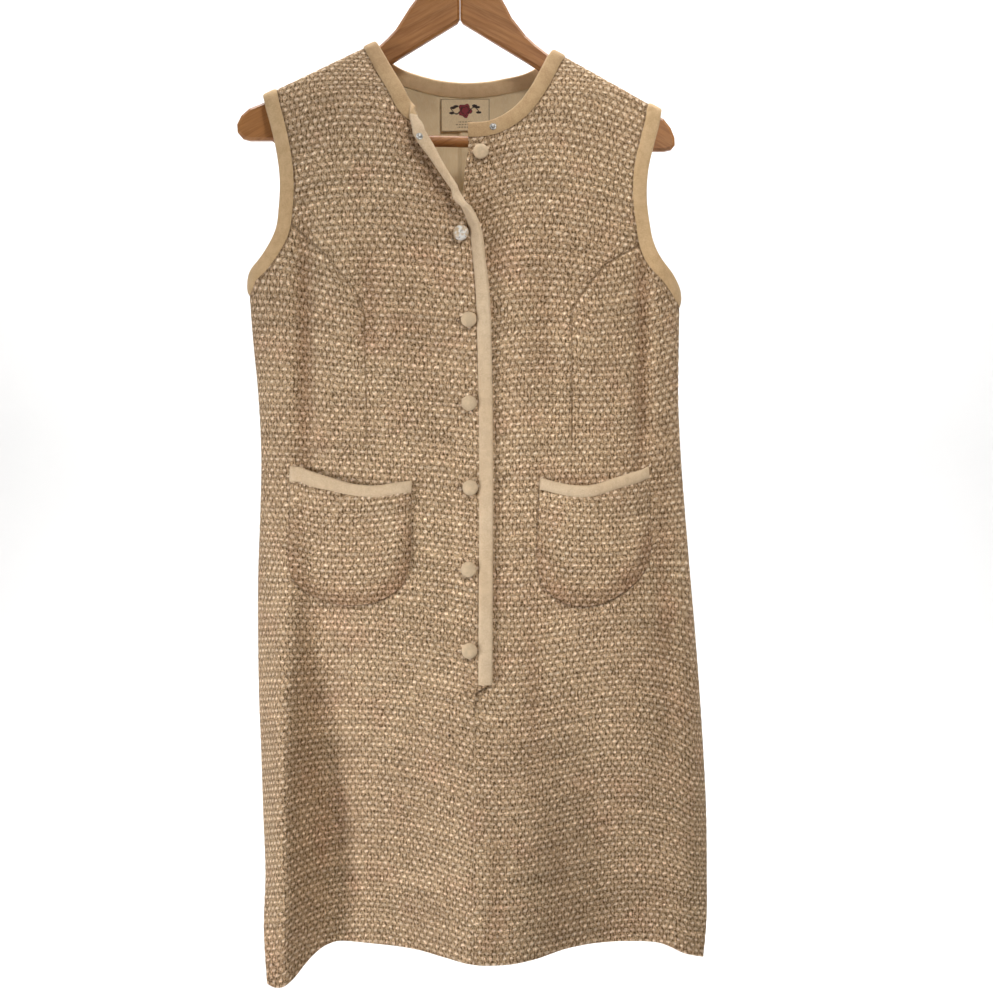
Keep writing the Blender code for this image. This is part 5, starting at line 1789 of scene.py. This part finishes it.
# ---- pockets ------------------------------------------------------------------------
def sew_pocket(name, table, key, wide=92, tall=76):
    """A patch pocket, its own shell, pressed down at its sewn edges and slack at its mouth."""
    wide = wide - wide % COARSE + 1
    tall = tall - tall % COARSE + 1
    k = np.linspace(0, len(table) - 1, wide)
    rows = [(n, *row) for n, row in enumerate(table)]
    top = np.stack([curve(rows, 1, k), curve(rows, 2, k)], -1)
    low = np.stack([curve(rows, 3, k), curve(rows, 4, k)], -1)
    t = np.linspace(1, 0, tall)[:, None]
    x = top[None, :, 0] * (1 - t) + low[None, :, 0] * t
    z = top[None, :, 1] * (1 - t) + low[None, :, 1] * t
    place = place_right if key == "right" else place_left
    flat, normals = laid(place, x, z)
    middle = np.sin(math.pi * k / (len(table) - 1))[None, :]
    off = 0.75 + measure("shell") + (0.4 + 1.4) * (1 - ease(0.12, 0.5, t))
    off = off + POCKET_SAG * middle * (1 - t) ** 1.5 + 1.5 * middle * np.sin(math.pi * t)
    side = np.minimum(distance_to(list(map(tuple, np.concatenate([top[:1], low, top[-1:]]))), x, z), 30)
    off = off + 0.5 * ease(0.0, 7.0, side) * (t > 0)
    # the pouch hangs full and turns under above its lower seam
    off = off + 2.6 * np.exp(-(((side - 15.0) / 9.0) ** 2)) * ease(0.35, 0.75, t)
    away = x - 0.5 * (top[0, 0] + top[-1, 0])
    off = off - 1.3 * np.exp(-(((away - 14.0 + 30.0 * t) / 7.0) ** 2)) * middle * (1 - t)
    points = flat + normals * off[..., None]
    p = away / 7.0 + away * away * 0.0001 + 0.14 * unevenness(x, z, 7.0)
    q = (z - 0.0019 * away * away) / 5.45 + 0.10 * unevenness(z, x, 8.0) + 0.4
    mouth = (z[-1:] + 0 * z) - z
    share = (x - top[0, 0]) / (top[-1, 0] - top[0, 0]) if key == "right" else 1.0 + 0 * x
    narrower = 1 - 0.26 * ease(0.1, 0.55, share)
    band_foot = measure("band") * narrower
    relief = measure("nub_relief") * ease(band_foot - 0.5, band_foot + 2.0, mouth) * ease(0.0, 2.0, side)
    # painted shade along the pouch's lower, turned-under seam, with the same dusty tint
    worn = ease(26.0, 3.0, side) * ease(0.35, 0.85, t)
    both = [finish("tweed"), finish("lining")]
    body = shell(name + "_cloth", points, normals, p, q, relief, side + 0.6, worn, both)
    rings = []
    steps = np.linspace(0, 1, BAND_STEPS + 1)
    line = np.arange(0, wide, 2)
    for n, j in enumerate(line):
        down = points[:, j][::-1]
        run = np.concatenate([[0], np.cumsum(np.linalg.norm(np.diff(down, axis=0), axis=1))])
        at = steps * measure("band") * narrower[-1, j]
        places = np.stack([np.interp(at, run, down[:, c]) for c in range(3)], -1)
        n_at = np.stack([np.interp(at, run, normals[:, j][::-1][:, c]) for c in range(3)], -1)
        beyond = unit(places[0] - places[1])
        rings.append(band_ring(places, unit(n_at), beyond, 0.1 * math.sin(n * 0.9)))
    band = ring_tube(name.replace("pocket", "pocket_binding") + "_cloth", rings, [finish("felt")])
    return body, band


# ---- buttons and snaps ----------------------------------------------------------------
def deselect():
    if bpy.context.mode != "OBJECT":
        bpy.ops.object.mode_set(mode="OBJECT")
    bpy.ops.object.select_all(action="DESELECT")


def turned(name, profile, segments, degrees=40.0):
    """A turned body about Z, a circle drawn up through radii and heights in millimetres."""
    deselect()
    radius, height = profile[0]
    bpy.ops.mesh.primitive_circle_add(
        vertices=segments, radius=radius * MM, fill_type="NGON", location=(0, 0, height * MM)
    )
    body = bpy.context.active_object
    bpy.ops.object.transform_apply(location=True)
    bpy.ops.object.mode_set(mode="EDIT")
    bpy.ops.mesh.select_all(action="SELECT")
    for wide, tall in profile[1:]:
        rise = (0, 0, (tall - height) * MM)
        bpy.ops.mesh.extrude_region_move(TRANSFORM_OT_translate={"value": rise})
        share = wide / radius
        bpy.ops.transform.resize(value=(share, share, 1), center_override=(0, 0, tall * MM))
        radius, height = wide, tall
    bpy.ops.mesh.select_all(action="SELECT")
    bpy.ops.mesh.normals_make_consistent(inside=False)
    bpy.ops.object.mode_set(mode="OBJECT")
    bpy.ops.object.shade_smooth_by_angle(angle=math.radians(degrees))
    body.name = name
    body.data.name = name
    return body


def stand_on(body, place, normal):
    """Sets a turned body on a place of the cloth, with its place in its mesh."""
    turn = Vector((0, 0, 1)).rotation_difference(Vector(normal)).to_matrix().to_4x4()
    turn.translation = Vector(place) * MM
    body.data.transform(turn)
    body.data.update()
    return body


def dress_in(body, *materials):
    body.data.materials.clear()
    for one in materials:
        body.data.materials.append(one)
    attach(body, "root")
    return body


BUTTON_SHAPE = [
    (2.4, 0.7),
    (2.6, 1.9),
    (6.6, 2.0),
    (7.3, 2.4),
    (7.7, 3.1),
    (7.6, 3.9),
    (7.0, 4.7),
    (5.9, 5.4),
    (4.4, 5.95),
    (2.8, 6.3),
    (1.2, 6.45),
    (0.4, 6.48),
]
SNAP_SHAPE = [(3.4, 0.05), (3.5, 0.3), (3.3, 0.7), (2.3, 0.8), (1.9, 1.5), (1.3, 1.9), (0.5, 2.0)]


def sew_buttons():
    left = Laid(["left"], 4)
    both = Laid(["right", "left"], 4)
    spots = [(TOP_BUTTON, left)] + [(spot, both) for spot in BUTTONS]
    for k, ((x, z), cloth) in enumerate(spots):
        place, normal = cloth.facing(x, z, -1)
        name = "button_%d" % (k + 1)
        body = turned(name + "_cover", BUTTON_SHAPE, 40)
        stand_on(body, place, normal)
        dress_in(body, finish("pearly" if k == 1 else "covered"))
        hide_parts(name)


def sew_buttonholes():
    """A worked slit beside each fastened button, where the button has slid to its end."""
    right = Laid(["right"], 4)
    for k, (x, z) in enumerate(BUTTONS):
        place, normal = right.facing(x - 8.6, z + 0.8, -1)
        deselect()
        bpy.ops.mesh.primitive_torus_add(
            major_segments=28,
            minor_segments=8,
            major_radius=4.6 * MM,
            minor_radius=0.62 * MM,
            location=(0, 0, 0),
        )
        body = bpy.context.active_object
        body.name = "buttonhole_%d" % (k + 2)
        body.data.name = body.name
        bpy.ops.object.mode_set(mode="EDIT")
        bpy.ops.mesh.select_all(action="SELECT")
        bpy.ops.transform.resize(value=(1.0, 0.30, 1.0), center_override=(0, 0, 0))
        bpy.ops.object.mode_set(mode="OBJECT")
        bpy.ops.object.shade_smooth()
        stand_on(body, place + normal * 0.55, normal)
        dress_in(body, finish("thread"))


def sew_snaps():
    left = Laid(["left"], 4)
    place, normal = left.facing(SNAP_LEFT[0], SNAP_LEFT[1], -1)
    body = turned("snap_left_metal", SNAP_SHAPE, 28)
    stand_on(body, place + normal * 2.25, normal)
    dress_in(body, finish("snap"))
    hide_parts("snap_left")
    points, normals = laid(place_right, np.array([SNAP_RIGHT[0]]), np.array([SNAP_RIGHT[1]]))
    body = turned("snap_right_metal", SNAP_SHAPE, 28)
    stand_on(body, points[0] - normals[0] * (measure("shell") + 1.85), -normals[0])
    dress_in(body, finish("snap"))
    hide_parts("snap_right")


# ---- lining and label -------------------------------------------------------------------
def sheet_grid(name, points, normals, top, bottom, materials, pattern=None):
    """A thin even wall between two offsets of a grid, with its grid places as a UV map."""
    rows, columns = points.shape[:2]
    count = rows * columns
    verts = np.concatenate([(points + normals * height).reshape(-1, 3) for height in (top, bottom)])
    faces = []
    for i in range(rows - 1):
        for j in range(columns - 1):
            a = i * columns + j
            faces.append((a, a + 1, a + columns + 1, a + columns))
            faces.append((count + a + columns, count + a + columns + 1, count + a + 1, count + a))
    rim = list(range(columns)) + [i * columns + columns - 1 for i in range(1, rows)]
    rim += [(rows - 1) * columns + j for j in range(columns - 2, -1, -1)]
    rim += [i * columns for i in range(rows - 2, 0, -1)]
    for k, a in enumerate(rim):
        b = rim[(k + 1) % len(rim)]
        faces.append((b, a, count + a, count + b))
    mesh = bpy.data.meshes.new(name)
    mesh.from_pydata((verts * MM).tolist(), [], faces)
    work = bmesh.new()
    work.from_mesh(mesh)
    bmesh.ops.recalc_face_normals(work, faces=work.faces)
    work.to_mesh(mesh)
    work.free()
    smooth(mesh, 60)
    if pattern is not None:
        order = {}
        for i in range(rows - 1):
            for j in range(columns - 1):
                a = i * columns + j
                corners = (a, a + 1, a + columns + 1, a + columns)
                order[frozenset(corners)] = int(pattern[i, j])
                order[frozenset(count + corner for corner in corners)] = int(pattern[i, j])
        for polygon in mesh.polygons:
            polygon.material_index = order.get(frozenset(polygon.vertices), 0)
    return finish_mesh(name, mesh, materials)


def line_neck():
    back = Laid(["back"])
    across = np.linspace(LINING_SIDES[0], LINING_SIDES[1], 84)
    top_z = curve(NECK_BACK, 1, across) - measure("band") - 1.5
    points = []
    normals = []
    down = np.linspace(0, 1, 70)
    for t in down:
        for x, top in zip(across, top_z):
            place, normal = back.facing(x, LINING_BOTTOM + (top - LINING_BOTTOM) * t, 1)
            points.append(place)
            normals.append(normal)
    points = np.array(points).reshape(len(down), len(across), 3)
    normals = np.array(normals).reshape(len(down), len(across), 3)
    # the pleat down the middle of the back, and soft wrinkles beside it
    x = points[..., 0]
    z = points[..., 2]
    pleat = np.tanh((x + 1.0) / 0.8) * np.exp(-((x + 1.0) / 16.0) ** 2)
    slack = 0.9 * pleat + 0.35 * np.sin(x / 9.0 + z / 40.0) * np.sin(z / 23.0)
    points = points - normals * (measure("shell") + 0.5 + 1.0 + slack)[..., None]
    return sheet_grid("back_lining_cloth", points, normals, 0.0, -0.7, [finish("lining")])


def flower(u, v):
    """The label's made-up design by place from its middle: 0 plain, 1 rose, 2 dark, 3 edging."""
    design = np.zeros(u.shape, int)
    far = np.hypot(u + 0.3, v - 4.6)
    turn = np.arctan2(v - 4.6, u + 0.3)
    petal = 6.3 + 0.9 * np.cos(5 * turn + 0.6)
    design[far < petal] = 1
    design[np.abs(far - 0.62 * petal - 0.5 * np.sin(3 * turn)) < 0.35] = 2
    design[(far > petal) & (far < petal + 0.45) & (np.sin(3 * turn + 1.0) > -0.4)] = 2
    for side in (-1, 1):
        bow = 4.6 + 3.4 * np.sin((u * side - 5.0) / 2.7) * side
        stem = (np.abs(v - bow) < 0.6) & (u * side > 2.5) & (u * side < 15.5)
        design[stem] = 2
        for x0, z0 in ((9.6, 9.0), (14.0, 2.4), (12.6, 7.6)):
            leaf = ((u * side - x0) / 2.7) ** 2 + ((v - z0 - 0.3 * side) / 1.3) ** 2
            design[leaf < 1] = 2
    for line, (low, high) in enumerate(((-7.5, 6.5), (-11.0, 9.5), (-8.5, 7.0))):
        dash = (np.abs(v + 6.6 + 2.6 * line) < 0.6) & (u > low) & (u < high)
        design[dash & (np.sin(u * 2.1 + line) > -0.55)] = 3
    return design


def sew_label():
    back = Laid(["back"])
    across = np.linspace(LABEL[0], LABEL[1], 106)
    down = np.linspace(LABEL[3], LABEL[2], 74)
    points = []
    normals = []
    for z in down:
        for x in across:
            place, normal = back.facing(x, z, 1)
            points.append(place)
            normals.append(normal)
    points = np.array(points).reshape(len(down), len(across), 3)
    normals = np.array(normals).reshape(len(down), len(across), 3)
    ripple = 0.2 * np.sin(points[..., 0] / 6.0) + 0.15 * np.cos(points[..., 2] / 5.0)
    points = points - normals * (measure("shell") + 3.5 + ripple)[..., None]
    u = 0.5 * (across[1:] + across[:-1]) - 0.5 * (LABEL[0] + LABEL[1])
    v = 0.5 * (down[1:] + down[:-1]) - 0.5 * (LABEL[2] + LABEL[3])
    u, v = np.meshgrid(u, v)
    design = flower(u, v)
    left, right, top, bottom = LABEL
    inset = np.minimum(0.5 * (right - left) - np.abs(u), 0.5 * (top - bottom) - np.abs(v))
    design[inset < 0.8] = 3
    finishes = [finish("label"), finish("rose"), finish("ink"), finish("edging")]
    return sheet_grid("neck_label_cloth", points, normals, 0.0, -0.6, finishes, design)


# ---- hanger ---------------------------------------------------------------------------
def finish_hanger():
    for name in ("hanger_arm_right", "hanger_arm_left", "hanger_bar"):
        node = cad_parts[name]
        node.data.materials.clear()
        node.data.materials.append(finish("wood"))
    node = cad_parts["hanger_hook"]
    node.data.materials.clear()
    node.data.materials.append(finish("steel"))


# ---- stage ------------------------------------------------------------------------------
CAMERA_AT = (0.0372, -1.7, -0.6013)
CAMERA_LENS = 60.42
FLOOR_Z = -1.35


def build_stage():
    scene = bpy.context.scene
    light = scene.dress_stage
    scene.view_settings.view_transform = "Standard"
    verts = []
    faces = []
    section = [(-3.0, 0.0)]
    for degrees in range(0, 91, 6):
        turn = math.radians(degrees)
        section.append((2.0 + 0.9 * math.sin(turn), 0.9 - 0.9 * math.cos(turn)))
    section.append((2.9, 6.0))
    for x in (-6.0, 6.0):
        for y, z in section:
            verts.append((x, y, FLOOR_Z + z))
    count = len(section)
    for k in range(count - 1):
        faces.append((k, count + k, count + k + 1, k + 1))
    mesh = bpy.data.meshes.new("backdrop")
    mesh.from_pydata(verts, [], faces)
    for polygon in mesh.polygons:
        polygon.use_smooth = True
    paper = Finish("pale_paper", 0.9)
    fleck = paper.noise(3.0, 2.0)
    paper.colour(paper.mix(fleck, (0.90, 0.90, 0.90), (0.93, 0.93, 0.93)))
    mesh.materials.append(paper.material)
    backdrop = bpy.data.objects.new("backdrop", mesh)
    scene.collection.objects.link(backdrop)
    world = bpy.data.worlds.new("studio")
    world.use_nodes = True
    world.node_tree.nodes["Background"].inputs["Color"].default_value = (1.0, 0.91, 0.78, 1)
    world.node_tree.nodes["Background"].inputs["Strength"].default_value = light.fill
    scene.world = world
    lamps = (
        ("upper_right", (0.80, -1.7, 0.90), (0.19, 0.0, -0.50), 0.8, 36, light.key, (1.0, 0.985, 0.965)),
        ("lower_left", (-1.55, -1.15, -0.95), (0.11, 0.0, -0.77), 0.8, 54, light.side, (0.965, 0.985, 1.02)),
        ("paper_light", (0.0, 0.9, 1.8), (0.0, 2.4, -0.2), 2.4, 180, light.paper, (1.0, 1.0, 1.0)),
    )
    for name, place, target, size, cone, power, colour in lamps:
        data = bpy.data.lights.new(name, "AREA")
        data.shape = "SQUARE"
        data.size = size
        data.spread = math.radians(cone)
        data.energy = power
        data.color = colour
        lamp = bpy.data.objects.new(name, data)
        lamp.location = place
        lamp.rotation_euler = (Vector(target) - Vector(place)).to_track_quat("-Z", "Y").to_euler()
        scene.collection.objects.link(lamp)
    data = bpy.data.cameras.new("camera")
    data.sensor_width = 36.0
    data.lens = CAMERA_LENS
    data.clip_end = 50.0
    camera = bpy.data.objects.new("camera", data)
    camera.location = CAMERA_AT
    camera.rotation_euler = (math.radians(90.0), 0, 0)
    scene.collection.objects.link(camera)
    scene.camera = camera


# ---- the add-on -----------------------------------------------------------------------
def colour_property(name, description, default):
    return bpy.props.FloatVectorProperty(
        name=name, description=description, default=default, size=3, min=0.0, max=1.0, subtype="COLOR"
    )


def size_property(name, description, default):
    return bpy.props.FloatProperty(
        name=name, description=description, default=default * MM, min=0.0, unit="LENGTH", precision=5
    )


def measure(name):
    """One of the dress's sizes, in millimetres."""
    return getattr(bpy.context.scene.dress_sizes, name) / MM


class DressSizes(bpy.types.PropertyGroup):
    """The sizes of the cloth and the trimmings."""

    shell: size_property("Cloth", "Thickness of a panel's thin shell", 1.7)
    nub_across: size_property("Nub spacing", "Distance between the weave's nubs along a row", 7.5)
    nub_relief: size_property("Nub relief", "Height of the weave's nubs", 0.5)
    band: size_property("Binding width", "Width of the felt bindings", 13.5)
    band_high: size_property("Binding height", "Height of the felt above the cloth", 1.9)
    band_clear: size_property("Binding gap", "Gap between the felt and the cloth inside it", 0.45)


class DressColours(bpy.types.PropertyGroup):
    """The colours of the cloth, the trimmings and the hanger."""

    tweed_dark: colour_property("Tweed dark", "Shadow between the threads", (0.115, 0.058, 0.022))
    tweed_ground: colour_property("Tweed ground", "Ground threads", (0.46, 0.315, 0.185))
    tweed_thread: colour_property("Tweed thread", "Fine threads along the rows", (0.58, 0.42, 0.27))
    nub_cream: colour_property("Nub cream", "Lightest nubs", (0.98, 0.81, 0.62))
    nub_tan: colour_property("Nub tan", "Darker nubs", (0.66, 0.49, 0.33))
    # tint of the painted crease, flap and pocket shade, a little dusty
    dust_and_shade_tint: colour_property("Worn", "Dusty tint and painted shade of creases", (0.76, 0.69, 0.66))
    felt: colour_property("Felt", "Binding felt", (0.70, 0.53, 0.345))
    felt_dark: colour_property("Felt shade", "Darker fibres of the felt", (0.60, 0.44, 0.28))
    felt_light: colour_property("Felt nap", "Lighter fibres of the felt", (0.80, 0.63, 0.44))
    # darker, warmer copies of the felt colours: painted warm shade of the armholes and front neck
    aged: colour_property("Shaded felt", "Shaded, warmer binding of armholes and front neck", (0.64, 0.44, 0.24))
    shaded_felt_dark: colour_property("Shaded felt shade", "Darker fibres of the shaded felt", (0.54, 0.355, 0.18))
    shaded_felt_light: colour_property("Shaded felt nap", "Lighter fibres of the shaded felt", (0.74, 0.54, 0.315))
    lining: colour_property("Lining", "Ivory lining", (0.83, 0.67, 0.425))
    lining_shade: colour_property("Lining shade", "Shaded lining", (0.69, 0.53, 0.32))
    label: colour_property("Label", "Label cloth", (0.89, 0.74, 0.50))
    rose: colour_property("Label flower", "Dusty red of the label's flower", (0.32, 0.045, 0.065))
    ink: colour_property("Label stems", "Dark thread of the label's stems", (0.035, 0.022, 0.022))
    edging: colour_property("Label edging", "Brown thread round the label", (0.50, 0.37, 0.23))
    label_shade: colour_property("Label shade", "Label cloth, shaded", (0.79, 0.64, 0.42))
    button: colour_property("Button", "Cloth of the buttons", (0.70, 0.52, 0.325))
    button_shade: colour_property("Button shade", "Soiled cloth of the buttons", (0.55, 0.41, 0.26))
    pearl: colour_property("Worn button", "Rubbed shell of the worn button", (0.80, 0.78, 0.74))
    thread: colour_property("Thread", "Buttonhole thread", (0.24, 0.15, 0.09))
    wood: colour_property("Wood", "Hanger wood", (0.49, 0.215, 0.068))
    wood_light: colour_property("Wood light", "Lighter grain", (0.60, 0.30, 0.11))
    wood_dark: colour_property("Wood dark", "Darker grain", (0.31, 0.12, 0.036))


def power_property(name, description, default):
    return bpy.props.FloatProperty(name=name, description=description, default=default, min=0, unit="POWER")


class DressStage(bpy.types.PropertyGroup):
    """The strength of the studio's lights."""

    key: power_property("Key", "Light from the upper right", 2.15)
    side: power_property("Side", "Light from the lower left", 2.8)
    paper: power_property("Backdrop", "Light on the backdrop", 135.0)
    fill: bpy.props.FloatProperty(name="Fill", description="Light from all round", default=0.07, min=0)


class DRESS_OT_panels(bpy.types.Operator):
    """Cut the fronts and the back out of tweed and hang them."""

    bl_idname = "dress.panels"
    bl_label = "Tweed panels"

    def execute(self, context):
        lay_cloth()
        for body, node, wide, tall, area in (
            (cut_right(), "front_right", 0.30, 0.90, 0.225),
            (cut_left(), "front_left", 0.30, 0.90, 0.215),
            (cut_back(), "back", 0.52, 0.90, 0.40),
        ):
            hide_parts(node)
        return {"FINISHED"}


class DRESS_OT_bindings(bpy.types.Operator):
    """Bind the placket, the neckline and the armholes with felt."""

    bl_idname = "dress.bindings"
    bl_label = "Felt bindings"

    def execute(self, context):
        lay_cloth()
        for body, nodes in (
            (bind_right(), ("placket_binding", "neck_binding_right")),
            (bind_left(), ("neck_binding_left",)),
            (bind_back(), ("neck_binding_back",)),
            (bind_armhole("right", 0, 0, ARMPIT_RIGHT), ("armhole_binding_right",)),
            (bind_armhole("left", -1, -1, ARMPIT_LEFT), ("armhole_binding_left",)),
        ):
            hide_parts(*nodes)
        return {"FINISHED"}


class DRESS_OT_pockets(bpy.types.Operator):
    """Sew the patch pockets on, with their bound mouths."""

    bl_idname = "dress.pockets"
    bl_label = "Patch pockets"

    def execute(self, context):
        lay_cloth()
        for key, table in (("right", POCKET_RIGHT), ("left", POCKET_LEFT)):
            name = "pocket_" + key
            body, band = sew_pocket(name, table, key)
            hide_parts(name)
            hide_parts("pocket_binding_" + key)
        return {"FINISHED"}


class DRESS_OT_buttons(bpy.types.Operator):
    """Sew on the buttons and the snap at the neck."""

    bl_idname = "dress.buttons"
    bl_label = "Buttons and snap"

    def execute(self, context):
        lay_cloth()
        sew_buttons()
        sew_buttonholes()
        sew_snaps()
        return {"FINISHED"}


class DRESS_OT_neck(bpy.types.Operator):
    """Line the back neck and sew in the label."""

    bl_idname = "dress.neck"
    bl_label = "Lining and label"

    def execute(self, context):
        lay_cloth()
        cloth = line_neck()
        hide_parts("back_lining")
        tag = sew_label()
        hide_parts("neck_label")
        return {"FINISHED"}


class DRESS_OT_hanger(bpy.types.Operator):
    """Finish the wooden hanger and its wire hook."""

    bl_idname = "dress.hanger"
    bl_label = "Hanger"

    def execute(self, context):
        finish_hanger()
        return {"FINISHED"}


class DRESS_OT_stage(bpy.types.Operator):
    """Set up the pale backdrop, the soft lights and the camera."""

    bl_idname = "dress.stage"
    bl_label = "Stage"

    def execute(self, context):
        build_stage()
        return {"FINISHED"}


STEPS = (
    DRESS_OT_panels,
    DRESS_OT_bindings,
    DRESS_OT_pockets,
    DRESS_OT_buttons,
    DRESS_OT_neck,
    DRESS_OT_hanger,
    DRESS_OT_stage,
)


class DRESS_PT_panel(bpy.types.Panel):
    """Lists the dress's steps and colours."""

    bl_idname = "DRESS_PT_panel"
    bl_label = "Sheath dress"
    bl_space_type = "VIEW_3D"
    bl_region_type = "UI"
    bl_category = "Dress"

    def draw(self, context):
        for step in STEPS:
            self.layout.operator(step.bl_idname)
        for group in (context.scene.dress_sizes, context.scene.dress_colours, context.scene.dress_stage):
            for key in group.__annotations__:
                self.layout.prop(group, key)


CLASSES = (DressSizes, DressColours, DressStage, *STEPS, DRESS_PT_panel)


def register():
    for one in CLASSES:
        bpy.utils.register_class(one)
    bpy.types.Scene.dress_sizes = bpy.props.PointerProperty(type=DressSizes)
    bpy.types.Scene.dress_colours = bpy.props.PointerProperty(type=DressColours)
    bpy.types.Scene.dress_stage = bpy.props.PointerProperty(type=DressStage)


def unregister():
    del bpy.types.Scene.dress_stage
    del bpy.types.Scene.dress_colours
    del bpy.types.Scene.dress_sizes
    for one in reversed(CLASSES):
        bpy.utils.unregister_class(one)


def main():
    register()
    for step in STEPS:
        group, _, call = step.bl_idname.partition(".")
        getattr(getattr(bpy.ops, group), call)()


if __name__ == "__main__":
    main()
